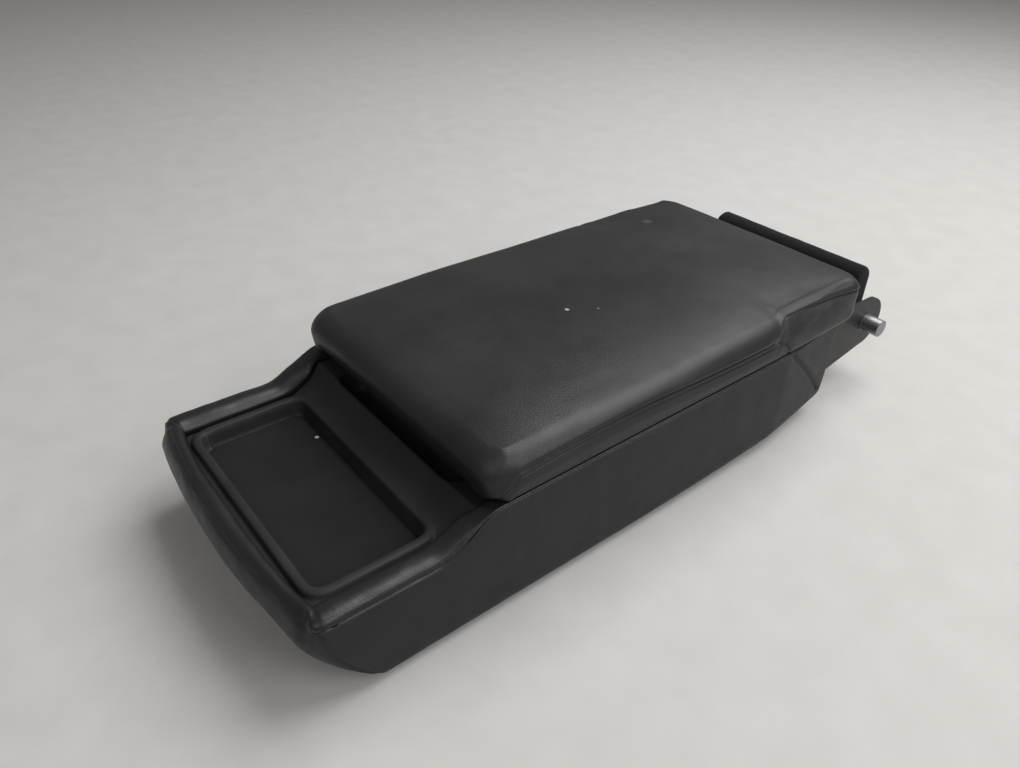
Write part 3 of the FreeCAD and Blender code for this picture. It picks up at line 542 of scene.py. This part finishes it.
@dataclass
class Lid:
    """The padded lid: bull-nosed front, rolled sides, sewn side bands and a narrower rear."""

    half: float = 120.0
    nose: float = -175.0
    corner: float = 22.5
    end: float = 229.5
    rear_corner: float = 25.0
    neck_start: float = 124.0
    neck_half: float = 116.5
    low: float = 95.7
    high: float = 129.5
    seam: float = 114.5
    rear_seam: float = 118.5
    seam_arch: float = 4.5
    seam_step: float = 12.5
    seam_fall: float = 9.0
    neck_from: float = 98.0
    neck_to: float = 122.0
    nose_level: float = 113.8
    nose_roll: float = 20.5
    nose_swing: float = 20.6
    nose_turn: float = 62.0
    side_roll: float = 15.0
    crown: float = 6.0
    roll_end: float = 72.0
    waist: float = 112.5
    square: float = 2.6

    def seam_level(self, y: Array) -> Array:
        """Height of the side seam, which steps up behind the band and sinks towards the rear."""
        arch = self.seam_arch * dent(y + 60.0, 80.0)
        rise = self.seam_step * ease(y, 99.0, 119.0)
        fall = self.seam_fall * np.clip((y - 136.0) / 90.0, 0.0, 1.0) ** 1.4
        return self.seam + arch + rise - fall

    def columns(self) -> tuple[Array, Array]:
        """Plan points and normals of the lid's edge."""
        half = half_outline([
            (0.0, self.end, 0.0), (self.neck_half, self.end, self.rear_corner),
            (self.half, self.neck_start, NECK_ROUND),
            (self.half, self.nose, self.corner), (0.0, self.nose, 0.0),
        ])

        def spacing(line: Array) -> Array:
            """Finer columns at the band's two ends."""
            near = np.minimum(np.abs(line[:, 1] + 162.0), np.abs(line[:, 1] - 112.0))
            return 3.4 - 2.3 * dent(near, 20.0)

        return mirrored_columns(half, spacing)

    def section(self, plan: Array, normal: Array) -> tuple[Array, Array]:
        """Edge section of each column, from the underside to the top.

        Args:
            plan: Plan points of the columns.
            normal: Their outward normals.

        Returns:
            Inward offsets and heights, rows by columns.
        """
        y = plan[:, 1]
        front = ease(-normal[:, 1], 0.2, 0.9)
        rear = ease(normal[:, 1], 0.3, 0.95)
        side = 1.0 - front - rear
        level = self.seam_level(y)
        narrow = ease(y, self.neck_from, self.neck_to)
        lean = side * narrow * np.maximum(np.abs(plan[:, 0]) - self.waist, 0.0)
        roll = self.side_roll - 3.0 * narrow
        square = self.square * 4.0 * (normal[:, 0] * normal[:, 1]) ** 2 * (y < 0.0)
        inward, height = [], []
        for t in np.concatenate([np.linspace(0.0, 0.88, 30), np.linspace(0.9, 1.0, 7)]):
            angle = math.radians(-self.nose_turn * (1.0 - t))
            nose_t = self.nose_roll - self.nose_swing * math.cos(angle)
            nose_z = self.nose_level + self.nose_roll * math.sin(angle)
            tuck = 1.4 * math.exp(-t * 14.0)
            side_t = tuck + lean * ease(t, 0.1, 1.0)
            inward.append(front * nose_t + side * side_t + rear * tuck - square * (1.4 - 0.4 * t))
            side_z = self.low + (level - self.low) * t
            rear_z = self.low + (self.rear_seam - self.low) * t
            height.append(front * nose_z + side * side_z + rear * rear_z)
        last = math.radians(self.roll_end)
        close = np.radians(np.linspace(1.5, 14.0, 7))
        for angle in np.concatenate([close, np.linspace(math.radians(18.0), last, 18)]):
            c, s = math.cos(angle), math.sin(angle) / math.sin(last)
            bend = front * (self.nose_roll - self.nose_swing * c) + side * (roll * (1 - c) + lean)
            inward.append(bend + rear * self.side_roll * (1 - c) - square * (1 - s))
            side_z = level + (self.high - level) * s
            rear_z = self.rear_seam + (self.high - self.rear_seam) * s
            nose_z = self.nose_level + (self.high - self.nose_level) * s
            height.append(front * nose_z + side * side_z + rear * rear_z)
        return np.array(inward), np.array(height)

    def points(self) -> Array:
        """All rows of the lid's skin, from the underside's middle to the top's middle."""
        plan, normal = self.columns()
        inward, height = self.section(plan, normal)
        edge = plan[None] - normal[None] * inward[..., None]
        walls = np.concatenate([edge, height[..., None]], axis=2)
        spine = np.stack([np.zeros(len(plan)), np.clip(plan[:, 1], -70.0, 122.0)], axis=1)
        below = []
        for k in (1.0, 0.7, 0.4, 0.18, 0.06):
            flat = edge[0] * (1 - k) + spine * k
            below.append(np.concatenate([flat, height[0][:, None]], axis=1))
        above = []
        for k in np.linspace(0.0, 1.0, 40)[1:] ** 1.25:
            flat = edge[-1] * (1 - k) + spine * k
            above.append(np.concatenate([flat, (height[-1] + self.pillow(flat))[:, None]], axis=1))
        return np.concatenate([np.array(below), walls, np.array(above)], axis=0)

    def pillow(self, place: Array) -> Array:
        """Rise of the top over its edge, highest along the middle."""
        x, y = place[:, 0], place[:, 1]
        reach = self.half - 10.0 - 9.0 * ease(y, self.neck_from, self.neck_to)
        first, final = self.nose + 14.0, self.end - 11.0
        along = (2.0 * y - first - final) / (final - first)
        across = 1.0 - np.clip(np.abs(x) / reach, 0.0, 1.0) ** 4
        return self.crown * across * (1.0 - np.clip(np.abs(along), 0.0, 1.0) ** 8)

    def seams(self, points: Array) -> Array:
        """Outward push of each point by the seams, the welt and the leather's own dents."""
        y, z = points[..., 1], points[..., 2]
        on_side = ease(np.abs(points[..., 0]), 92.0, 102.0) * (1.0 - ease(y, 216.0, 228.0))
        level = self.seam_level(y) - 18.0 * ease(-y, 148.0, 173.0)
        steep = self.seam_level(y + 0.5) - self.seam_level(y - 0.5)
        line = (z - level) / np.sqrt(1.0 + steep ** 2)
        live = on_side * (1.0 - ease(-y, 171.0, 175.0))
        band = live * (1.0 - ease(y, 104.0, 118.0)) * (1.0 - ease(-y, 150.0, 166.0))
        depth = 3.8 - 2.2 * ease(y, 112.0, 130.0)
        push = -depth * dent(line, 0.75) * live
        lip = ease(line, 0.1, 1.6) * (1.0 - ease(line, 3.0, 15.0)) * (1.0 - ease(y, 84.0, 102.0))
        push += 1.5 * lip * live
        push -= 0.7 * ease(-line, 0.0, 1.0) * (1.0 - ease(-line, 8.0, 14.0)) * band
        for lift, below, width in ((0.9, 2.6, 1.6), (-1.2, 5.2, 0.8), (0.7, 10.5, 4.0)):
            push += lift * dent(line + below, width) * band
        push += 0.6 * dent(line - 3.2, 2.4) * live
        band_end = [(100.0, 111.5), (108.0, 110.6), (115.0, 107.0), (119.5, 101.0), (121.5, 94.0)]
        push -= 1.4 * dent(path_distance(y, z, band_end), 0.9) * on_side * (z < 113.0)
        push += 0.28 * ripple(points, (46.0, 60.0, 30.0), 3.0) * ease(z, 98.0, 104.0)
        rear = ease(y, 112.0, 134.0) * on_side
        push += 0.6 * ripple(points, (18.0, 30.0, 16.0), 9.0) * rear * ease(z, 97.0, 101.0) * (z < 128.0)
        return push

    def build(self, leather: Material) -> Object:
        """Builds the lid's cushion and seats it on the lid."""
        points = self.points()
        points = points + grid_normals(points) * self.seams(points)[..., None]
        points[..., 2] = np.maximum(points[..., 2], self.low)
        item = grid_object("lid_cushion", points, [leather])
        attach(item, "lid")
        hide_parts("lid_cover", "lid_padding")
        return item


@dataclass
class Base:
    """The upholstered base: rolled front, puffed strips beside the tray and flat side panels."""

    half: float = 120.0
    front: float = -300.0
    bow: float = 10.5
    end: float = 204.0
    neck_start: float = 124.0
    neck_half: float = 111.0
    mouth_half: float = 104.7
    strip_inner: float = 99.3
    mouth_front: float = -289.2
    seam_drop: float = 3.6
    top: float = 94.4
    rim: float = 76.0
    flat_end: float = 33.0
    rise_radius: float = 1832.0
    chin_start: float = 64.0
    chin_setback: float = 50.0
    chin_hold: float = -190.0
    puff: float = 2.6
    front_roll: float = 12.0
    rear_top: float = 85.5
    rear_lip: float = 2.2
    tray_front: float = -295.3
    bed: float = 55.0
    bottom: float = 14.0
    corner_turn: float = -0.36
    stitched: tuple[float, float] = (-212.0, -178.0)
    stitch_pitch: float = 4.4
    stitch_length: float = 2.8
    thread_radius: float = 0.32

    def columns(self) -> tuple[Array, Array]:
        """Plan points and normals of the base's edge."""
        half = half_outline([
            (0.0, self.end, 0.0), (self.neck_half, self.end, 5.0), (self.half, self.neck_start, NECK_ROUND),
            (self.half, self.front, 14.0), (0.0, self.front, 0.0),
        ])

        def spacing(line: Array) -> Array:
            """Finer columns at the front corners, the sweep and the rear seam."""
            y = line[:, 1]
            corner = np.hypot(line[:, 0] - 116.0, y - self.front + 4.0)
            return 3.4 - 2.4 * dent(corner, 10.0) - 2.2 * ease(y, 115.0, 128.0) - 1.3 * dent(y + 190.0, 40.0)

        plan, normal = mirrored_columns(half, spacing)
        bowed = ease(-plan[:, 1], 284.0, 300.0)
        plan[:, 1] -= bowed * self.bow * (1.0 - (plan[:, 0] / self.half) ** 2)
        return plan, normal

    def chin(self, x: Array, y: Array, z: Array) -> Array:
        """Places along Y after the front's lower half is drawn back.

        Args:
            x: Places across.
            y: Places along.
            z: Heights.

        Returns:
            The drawn-back places.
        """
        w = np.clip((self.chin_start - z) / self.chin_start, 0.0, 1.0)
        setback = self.chin_setback * w ** 1.45
        bulge = self.bow * (1.0 - np.clip(x / self.half, -1.0, 1.0) ** 2) * ease(-y, 262.0, 300.0)
        y = y + bulge * ease(w, 0.0, 0.42)
        apex = self.front - self.bow
        scale = (apex + setback - self.chin_hold) / (apex - self.chin_hold)
        return np.where(y < self.chin_hold, self.chin_hold + (y - self.chin_hold) * scale, y)

    def points(self) -> tuple[Array, dict[str, int]]:
        """All rows of the base's skin, from the underside's middle over the rim into the trough.

        Returns:
            The rows, and the row numbers at which the zones start.
        """
        plan, normal = self.columns()
        x, y = plan[:, 0], plan[:, 1]
        rear = ease(normal[:, 1], 0.6, 0.95)
        front = ease(-normal[:, 1], 0.3, 0.95)
        calm = 1.0 - ease(-normal[:, 1], 0.02, 0.45)
        top = self.rim + (self.top - self.rim) * ease(y, -214.0, -164.0)
        top = top * (1 - rear) + self.rear_top * rear
        low = np.where(y > self.flat_end, (y - self.flat_end) ** 2 / (2 * self.rise_radius), 0.0)
        edge = 14.0 + 5.0 * ease(y, -60.0, 160.0)
        swell = self.puff * (1.0 - ease(y, -200.0, -176.0)) * (1 - rear)
        drop = self.seam_drop * (1.0 - ease(y, -196.0, -170.0)) * (1 - rear) * (1 - front)
        mouth = self.strip_inner + (self.mouth_half - self.strip_inner) * ease(y, -186.0, -172.0)
        bay = self.mouth_front + 5.6 * np.clip(np.abs(x) / self.strip_inner, 0.0, 1.0) ** 4
        back = self.end - self.rear_lip
        inner = np.stack([np.clip(x, -mouth, mouth), np.maximum(np.minimum(y, back), bay)], axis=1)
        sunk = 2.6 * (1.0 - ease(y, -204.0, -190.0))
        inner_z = (Tray.surface(y) + 0.35 - sunk) * (1 - rear) + 84.5 * rear
        hole = np.stack([
            np.clip(x, -self.mouth_half, self.mouth_half), np.clip(y, self.tray_front, back),
        ], axis=1)
        trough = np.stack([hole[:, 0], np.maximum(hole[:, 1], -250.0)], axis=1)
        spine = np.stack([np.zeros(len(plan)), np.clip(y, -185.0, 110.0)], axis=1)
        rows: list[Array] = []
        marks: dict[str, int] = {}

        def put(place: Array, z: Array, drawn: bool = True) -> None:
            """Adds one row."""
            along = self.chin(place[:, 0], place[:, 1], z) if drawn else place[:, 1]
            rows.append(np.stack([place[:, 0], along, z], axis=1))

        def rolled(z: Array) -> Array:
            """Inward offset of the front roll at a height."""
            part = np.clip((z - 40.0) / 37.5, 0.0, 0.985)
            return front * self.front_roll * (1.0 - np.sqrt(1.0 - part ** 2))

        first = plan - normal * edge[:, None]
        for k in (1.0, 0.75, 0.5, 0.3, 0.15, 0.05):
            put(first * (1 - k) + spine * k, low)
        marks["bend"] = len(rows)
        for angle in np.radians(np.linspace(0.0, 90.0, 9)):
            put(plan - normal * (edge * (1 - math.sin(angle)))[:, None], low + edge * (1 - math.cos(angle)))
        start = low + edge
        for t in np.linspace(0.0, 1.0, 58)[1:]:
            z = start + (top - 2.4 - drop - start) * t
            put(plan + normal * (0.9 * math.sin(math.pi * t) - rolled(z))[:, None], z)
        marks["edge"] = len(rows)
        for out, below in ((0.35, 1.7), (0.35, 1.3), (-0.1, 0.95), (-2.6, 0.75)):
            z = top - drop - below
            put(plan + normal * (out * calm - rolled(z))[:, None], z)
        marks["strip"] = len(rows)
        for out, part in ((-2.6, 0.97), (-0.8, 0.86), (-0.3, 0.55), (-1.0, 0.22)):
            z = top - 0.5 - drop * part + 0.3 * (1 - part)
            put(plan + normal * (out * calm - rolled(z))[:, None], z)
        crest = plan - normal * (self.front_roll * 0.75 * front)[:, None]
        for f, lift, fall in (
            (0.08, 0.25, 0.0), (0.13, 0.5, 0.0), (0.19, 0.75, 0.0), (0.27, 0.92, 0.0), (0.38, 1.0, 0.0),
            (0.50, 1.0, 0.0), (0.62, 0.9, 0.02), (0.73, 0.7, 0.08), (0.83, 0.42, 0.22),
            (0.91, 0.15, 0.5), (1.0, 0.0, 1.0),
        ):
            put(crest * (1 - f) + inner * f, top + swell * lift - (top - inner_z) * fall, drawn=False)
        marks["trough"] = len(rows)
        put(hole, inner_z - 0.05, drawn=False)
        bed = np.full(len(plan), self.bed)
        bottom = np.full(len(plan), self.bottom)
        put(hole, bed + 1.0, drawn=False)
        put(trough, bed, drawn=False)
        put(trough, bottom, drawn=False)
        for k in (0.3, 0.65, 1.0):
            put(trough * (1 - k) + spine * k, bottom, drawn=False)
        return np.array(rows), marks

    def seams(self, points: Array, marks: dict[str, int]) -> Array:
        """Outward push of each point by the seams and the leather's wrinkles."""
        rows = np.arange(len(points))[:, None] * np.ones(points.shape[1])
        y, z = points[..., 1], points[..., 2]
        shown = (rows < marks["trough"]) * 1.0
        wall = shown * (rows >= marks["bend"] + 2) * (rows < marks["edge"])
        strip = shown * (rows >= marks["strip"])
        plan, normal = self.columns()
        front = ease(-normal[:, 1], 0.35, 0.8)[None] * np.ones_like(rows)
        at_corner = (np.abs(plan[:, 0]) > 100)[None]
        corner_depth = np.where(rows < marks["edge"], 3.0, 1.0)
        corner_seam = dent((normal[:, 1] - self.corner_turn)[None], 0.09) * at_corner
        push = -corner_depth * corner_seam * shown * (rows >= marks["bend"])
        side = (1.0 - front) * ease(np.abs(points[..., 0]), 100.0, 106.0)
        rear_seam = [(127.0, 95.0), (131.0, 89.0), (146.0, 76.0), (166.0, 57.0), (192.0, 30.0)]
        push -= 2.0 * dent(path_distance(y, z, rear_seam), 1.4) * wall * side * (y < 200.0)
        push += 0.5 * dent(path_distance(y - 6.0, z, rear_seam), 4.0) * wall * side * (y < 196.0)
        push += 0.22 * ripple(points, (40.0, 55.0, 40.0), 4.0) * wall
        push += 0.6 * ripple(points, (34.0, 22.0, 22.0), 7.0) * wall * front * ease(z, 12.0, 34.0)
        free = (1.0 - ease(y, -190.0, -176.0)) * (rows < marks["trough"] - 2)
        push += 0.7 * ripple(points, (26.0, 20.0, 22.0), 12.0) * strip * free
        return push

    def build(
        self, panel: Material, roll: Material, thread: Material
    ) -> list[Object]:
        """Builds the base's cushion and its stitches.

        Args:
            panel: Leather of the side panels.
            roll: Leather of the front roll and the strips.
            thread: Sewing thread.

        Returns:
            The pieces.
        """
        points, marks = self.points()
        normals = grid_normals(points)
        points = points + normals * self.seams(points, marks)[..., None]
        points[..., 2] = np.maximum(points[..., 2], 0.0)
        rows, columns = points.shape[:2]
        zones = np.zeros((rows - 1, columns), int)
        _, normal = self.columns()
        zones[marks["edge"] + 2:marks["trough"]] = 1
        zones[:, normal[:, 1] < self.corner_turn] = 1
        item = grid_object("base_cushion", points, [panel, roll], zones)
        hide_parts("base_cover", "base_padding")
        pieces = [item]
        row = marks["strip"] + 3
        live = (points[row, :, 1] > self.stitched[0]) & (points[row, :, 1] < self.stitched[1])
        for word, sign in (("right", 1), ("left", -1)):
            pick = np.where(live & (points[row, :, 0] * sign > 0))[0]
            pieces.append(stitch_row(
                "strip_stitches_" + word, points[row, pick], normals[row, pick],
                self.stitch_pitch, self.stitch_length, self.thread_radius, thread,
            ))
        for piece in pieces:
            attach(piece, "base")
        return pieces


TRAY_LEVEL = 72.0
LEDGE_RISE = 16.0
SLOPE_START = -200.0
SLOPE_LENGTH = 26.0
SLOPE_POWER = 1.6


@dataclass
class Tray:
    """The moulded tray: soft rim, deep recess, sweep up to the ledge and the finger scoop."""

    half: float = 104.2
    front: float = -294.8
    end: float = -146.3
    recess_half: float = 90.0
    recess_middle: float = -238.5
    recess_reach: float = 39.5
    recess_corner: float = 9.0
    floor: float = 58.2
    rim_rise: float = 1.0
    groove: float = 3.0
    scoop_half: float = 76.0
    scoop_middle: float = -160.2
    scoop_reach: float = 11.2
    scoop_floor: float = 72.0
    scoop_corner: float = 9.0
    notch_half: float = 36.0
    notch_middle: float = -147.0
    notch_reach: float = 5.0
    notch_corner: float = 1.0
    notch_floor: float = 80.0
    underside: float = 55.4

    @staticmethod
    def surface(y: Array) -> Array:
        """Height of the tray's plain surface along Y."""
        part = np.clip((np.asarray(y, float) - SLOPE_START) / SLOPE_LENGTH, 0.0, 1.0)
        return TRAY_LEVEL + LEDGE_RISE * part ** SLOPE_POWER

    @staticmethod
    def outside(x: Array, y: Array, half: float, reach: float, corner: float) -> Array:
        """Distance of points to a rounded rectangle about the origin, negative inside it."""
        qx = np.abs(x) - half + corner
        qy = np.abs(y) - reach + corner
        beyond = np.hypot(np.maximum(qx, 0.0), np.maximum(qy, 0.0))
        return beyond + np.minimum(np.maximum(qx, qy), 0.0) - corner

    def height(self, x: Array, y: Array) -> Array:
        """Height of the tray's upper face.

        Args:
            x: Places across.
            y: Places along.

        Returns:
            The heights.
        """
        away = self.outside(
            x, y - self.recess_middle, self.recess_half, self.recess_reach, self.recess_corner
        )
        z = self.surface(y) + self.rim_rise * dent(away - 3.4, 3.6) * (1.0 - ease(y, -198.0, -186.0))
        z -= self.groove * ease(away, 6.0, 8.6) * (1.0 - ease(y, -206.0, -192.0))
        wall = ease(-away, -0.7, 1.5)
        z = z * (1 - wall) + self.floor * wall
        away = self.outside(
            x, y - self.scoop_middle, self.scoop_half, self.scoop_reach, self.scoop_corner
        )
        wall = ease(-away, -3.0, 4.5)
        z = z * (1 - wall) + self.scoop_floor * wall
        away = self.outside(
            x, y - self.notch_middle, self.notch_half, self.notch_reach, self.notch_corner
        )
        wall = ease(-away, -0.4, 1.2)
        return np.where(wall > 0, np.minimum(z, z * (1 - wall) + self.notch_floor * wall), z)

    @staticmethod
    def graded(low: float, high: float, spots: list[float]) -> Array:
        """Places from low to high, closer together at the spots."""
        fine = np.linspace(low, high, 4000)
        weight = np.full(len(fine), 1 / 3.2)
        for spot in spots:
            weight += 1.5 * dent(fine - spot, 2.6)
        total = np.concatenate([[0.0], np.cumsum(weight[1:] * np.diff(fine))])
        return np.interp(np.linspace(0.0, total[-1], int(total[-1]) + 1), total, fine)

    def build(self, plastic: Material) -> Object:
        """Builds the tray as a fine moulded face with a skirt and an underside."""
        xs = self.graded(-self.half, self.half, [-97.5, -90.0, -76.0, -36.0, 36.0, 76.0, 90.0, 97.5])
        ys = self.graded(self.front, self.end, [-285.5, -278.0, -199.0, -171.4, -151.0])
        x, y = np.meshgrid(xs, ys)
        points = np.stack([x, y, self.height(x, y)], axis=-1).reshape(-1, 3) * MM
        index = np.arange(x.size).reshape(x.shape)
        corners = [index[:-1, :-1], index[:-1, 1:], index[1:, 1:], index[1:, :-1]]
        quads = np.stack(corners, axis=-1).reshape(-1, 4)
        mesh = bpy.data.meshes.new("tray_moulding")
        mesh.from_pydata(points.tolist(), [], quads.tolist())
        work = bmesh.new()
        work.from_mesh(mesh)
        rim = [e for e in work.edges if e.is_boundary]
        skirt = bmesh.ops.extrude_edge_only(work, edges=rim)["geom"]
        for vert in (g for g in skirt if isinstance(g, bmesh.types.BMVert)):
            vert.co.z = self.underside * MM
        bmesh.ops.holes_fill(work, edges=[e for e in work.edges if e.is_boundary])
        bmesh.ops.recalc_face_normals(work, faces=work.faces)
        for face in work.faces:
            face.smooth = len(face.verts) == 4
        work.to_mesh(mesh)
        work.free()
        item = put_object("tray_moulding", mesh, [plastic])
        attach(item, "base")
        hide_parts("tray")
        return item


@dataclass
class Mat:
    """A loose mat with soft edges, a little wavy on top."""

    name: str
    node: str
    slot: str
    half: float
    front: float
    end: float
    low: float
    high: float
    corner: float = 8.0
    wave: float = 0.12

    def build(self, finish: Material) -> Object:
        """Builds the mat from its underside's middle, round its edge, to its top's middle."""
        half = half_outline([
            (0.0, self.end, 0.0), (self.half, self.end, self.corner), (self.half, self.front, self.corner),
            (0.0, self.front, 0.0),
        ])
        plan, normal = mirrored_columns(half, lambda line: np.full(len(line), 2.6))
        middle = (self.front + self.end) / 2
        core = np.stack([np.zeros(len(plan)), np.clip(plan[:, 1], middle - 20.0, middle + 20.0)], axis=1)
        bend = (self.high - self.low) / 2
        level = (self.low + self.high) / 2
        rows = []

        def put(place: Array, z: float) -> None:
            """Adds one row."""
            rows.append(np.concatenate([place, np.full((len(place), 1), z)], axis=1))

        for k in (1.0, 0.5):
            put(plan * (1 - k) + core * k, self.low)
        for angle in np.radians(np.linspace(-90.0, 90.0, 9)):
            put(plan - normal * bend * (1 - math.cos(angle)), level + bend * math.sin(angle))
        top = len(rows)
        rim = plan - normal * bend
        for k in np.linspace(0.0, 1.0, 26)[1:]:
            put(rim * (1 - k) + core * k, self.high)
        points = np.array(rows)
        lift = self.wave * (ripple(points, (30.0, 30.0, 30.0), 31.0) - 1.0)
        points[top:, :, 2] += lift[top:]
        item = grid_object(self.name, points, [finish])
        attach(item, "base")
        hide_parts(self.node)
        return item


TRAY_MAT = Mat("tray_mat_sheet", "tray_mat", "mat_rubber", 88.0, -276.0, -201.0, 58.2, 60.0)
BIN_MAT = Mat("bin_mat_sheet", "bin_mat", "felt", 96.4, -141.0, 158.9, 24.5, 26.4)


@dataclass
class FeltRoll:
    """The felt sleeve round the pivot shaft, standing up behind the lid."""

    reach: float = 83.0
    middle: float = 283.0
    low: float = 58.0
    high: float = 96.0
    radius: float = 13.0
    end_round: float = 5.0
    end_length: float = 8.0
    slack: float = 0.4
    sides: int = 64

    def build(self, felt: Material) -> Object:
        """Builds the sleeve as rows of long round sections."""
        angles = np.linspace(0.0, 2 * math.pi, self.sides + 1)[:-1]
        ends = []
        for turn in np.radians(np.linspace(0.0, 90.0, 7)):
            across = -self.reach + self.end_round * (1 - math.cos(turn))
            ends.append((across, self.end_round * (1 - math.sin(turn))))
        straight = self.reach - self.end_length
        inner = [(x, 0.0) for x in np.linspace(-straight, straight, 60)]
        whole = ends + inner + [(-x, d) for x, d in ends[::-1]]
        rows = []
        for x, draw in whole:
            r = self.radius - draw - self.slack
            z = np.where(np.sin(angles) > 0, self.high, self.low) + r * np.sin(angles)
            rows.append(np.stack([np.full(self.sides, x), self.middle + r * np.cos(angles), z], axis=1))
        points = np.array(rows)
        for index in (0, -1):
            cap = points[index].copy()
            cap[:, 1] = self.middle
            cap[:, 2] = np.clip(cap[:, 2], self.low, self.high)
            points = np.concatenate([cap[None], points] if index == 0 else [points, cap[None]], axis=0)
        points = points + grid_normals(points) * (0.35 * ripple(points, (16.0, 14.0, 14.0), 21.0))[..., None]
        item = grid_object("felt_sleeve", points, [felt])
        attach(item, "base")
        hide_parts("felt_roll")
        return item


SLOT_FINISH = {
    "moulding": "black_moulding", "board": "board", "tray_plastic": "tray_plastic",
    "mat_rubber": "mat_rubber", "felt": "black_felt", "black_steel": "black_steel",
    "bright_steel": "bright_steel", "leather": "side_leather", "foam": "black_felt",
}


class Fittings:
    """The moulded and metal pieces, which keep their own shapes."""

    def dress(self, finishes: dict[str, Material]) -> None:
        """Gives each kept piece its finish, by the record's material slots."""
        slots: dict[str, str] = {}
        for entry in frame["record"]["subparts"]:
            slots[entry["node"]] = entry["material_slot"]
        for name, item in frame["nodes"].items():
            finish = finishes[SLOT_FINISH[slots[name]]]
            item.data.materials.clear()
            item.data.materials.append(finish)
            LOG.info("dressed %s with %s", name, finish.name)


LAMPS = (
    ("overhead", (0.15, 0.95, 1.75), 1.6, 46.0),
    ("window", (1.6, 0.4, 1.3), 1.2, 19.0),
    ("front", (0.9, -1.6, 1.5), 1.2, 8.0),
)


@dataclass
class Studio:
    """Floor, lamps, world and the camera of the photograph's view."""

    eye: Triple = (0.4073, -0.3895, 0.4357)
    yaw: float = 51.4
    pitch: float = 34.4
    roll: float = -0.83
    focal: float = 812.9
    picture_width: float = 1020.0
    sensor_width: float = 36.0
    floor_reach: float = 6.0
    room_colour: tuple[float, float, float, float] = (0.86, 0.86, 0.88, 1.0)
    room_light: float = 0.26

    def camera(self) -> None:
        """Puts the camera at the photograph's place."""
        yaw, pitch, roll = (math.radians(v) for v in (self.yaw, self.pitch, self.roll))
        ahead = Vector((-math.sin(yaw) * math.cos(pitch), math.cos(yaw) * math.cos(pitch), -math.sin(pitch)))
        right = Vector((math.cos(yaw), math.sin(yaw), 0.0))
        down = ahead.cross(right)
        across = right * math.cos(roll) + down * math.sin(roll)
        up = right * math.sin(roll) - down * math.cos(roll)
        data = bpy.data.cameras.new("view")
        data.sensor_fit = "HORIZONTAL"
        data.sensor_width = self.sensor_width
        data.lens = self.focal * self.sensor_width / self.picture_width
        data.clip_start = 0.01
        item = bpy.data.objects.new("view", data)
        bpy.context.scene.collection.objects.link(item)
        turn = Matrix((across, up, -ahead)).transposed().to_4x4()
        item.matrix_world = Matrix.Translation(Vector(self.eye)) @ turn
        bpy.context.scene.camera = item

    def lamp(self, name: str, place: Triple, size: float, power: float) -> None:
        """Adds a soft square lamp that looks at the armrest."""
        data = bpy.data.lights.new(name, "AREA")
        data.size = size
        data.energy = power
        item = bpy.data.objects.new(name, data)
        bpy.context.scene.collection.objects.link(item)
        look = Vector((0.0, 0.0, 0.08)) - Vector(place)
        item.rotation_euler = look.to_track_quat("-Z", "Y").to_euler()
        item.location = place

    def build(self, floor: Material) -> None:
        """Builds the stage."""
        mesh = bpy.data.meshes.new("floor")
        corners = [(-1, -1), (1, -1), (1, 1), (-1, 1)]
        places = [(self.floor_reach * x, self.floor_reach * y, 0.0) for x, y in corners]
        mesh.from_pydata(places, [], [(0, 1, 2, 3)])
        put_object("floor", mesh, [floor])
        for name, place, size, power in LAMPS:
            self.lamp(name, place, size, power)
        world = bpy.data.worlds.new("room")
        bpy.context.scene.world = world
        world.use_nodes = True
        back = world.node_tree.nodes["Background"]
        back.inputs["Color"].default_value = self.room_colour
        back.inputs["Strength"].default_value = self.room_light
        bpy.context.scene.view_settings.view_transform = "Standard"
        self.camera()


def main() -> None:
    """Builds the armrest piece by piece."""
    logging.basicConfig(level=logging.INFO)
    effects = Effects()
    finishes = {kind.name: kind.make(effects) for kind in FINISHES}
    Studio().build(finishes["floor"])
    Fittings().dress(finishes)
    pieces = [Lid().build(finishes["lid_leather"])]
    pieces += Base().build(finishes["side_leather"], finishes["front_roll_leather"], finishes["black_thread"])
    pieces.append(Tray().build(finishes["tray_plastic"]))
    pieces.append(TRAY_MAT.build(finishes["mat_rubber"]))
    pieces.append(BIN_MAT.build(finishes["black_felt"]))
    pieces.append(FeltRoll().build(finishes["black_felt"]))
    for piece in pieces:
        LOG.info("built %s with %d faces", piece.name, len(piece.data.polygons))


if __name__ == "__main__":
    main()
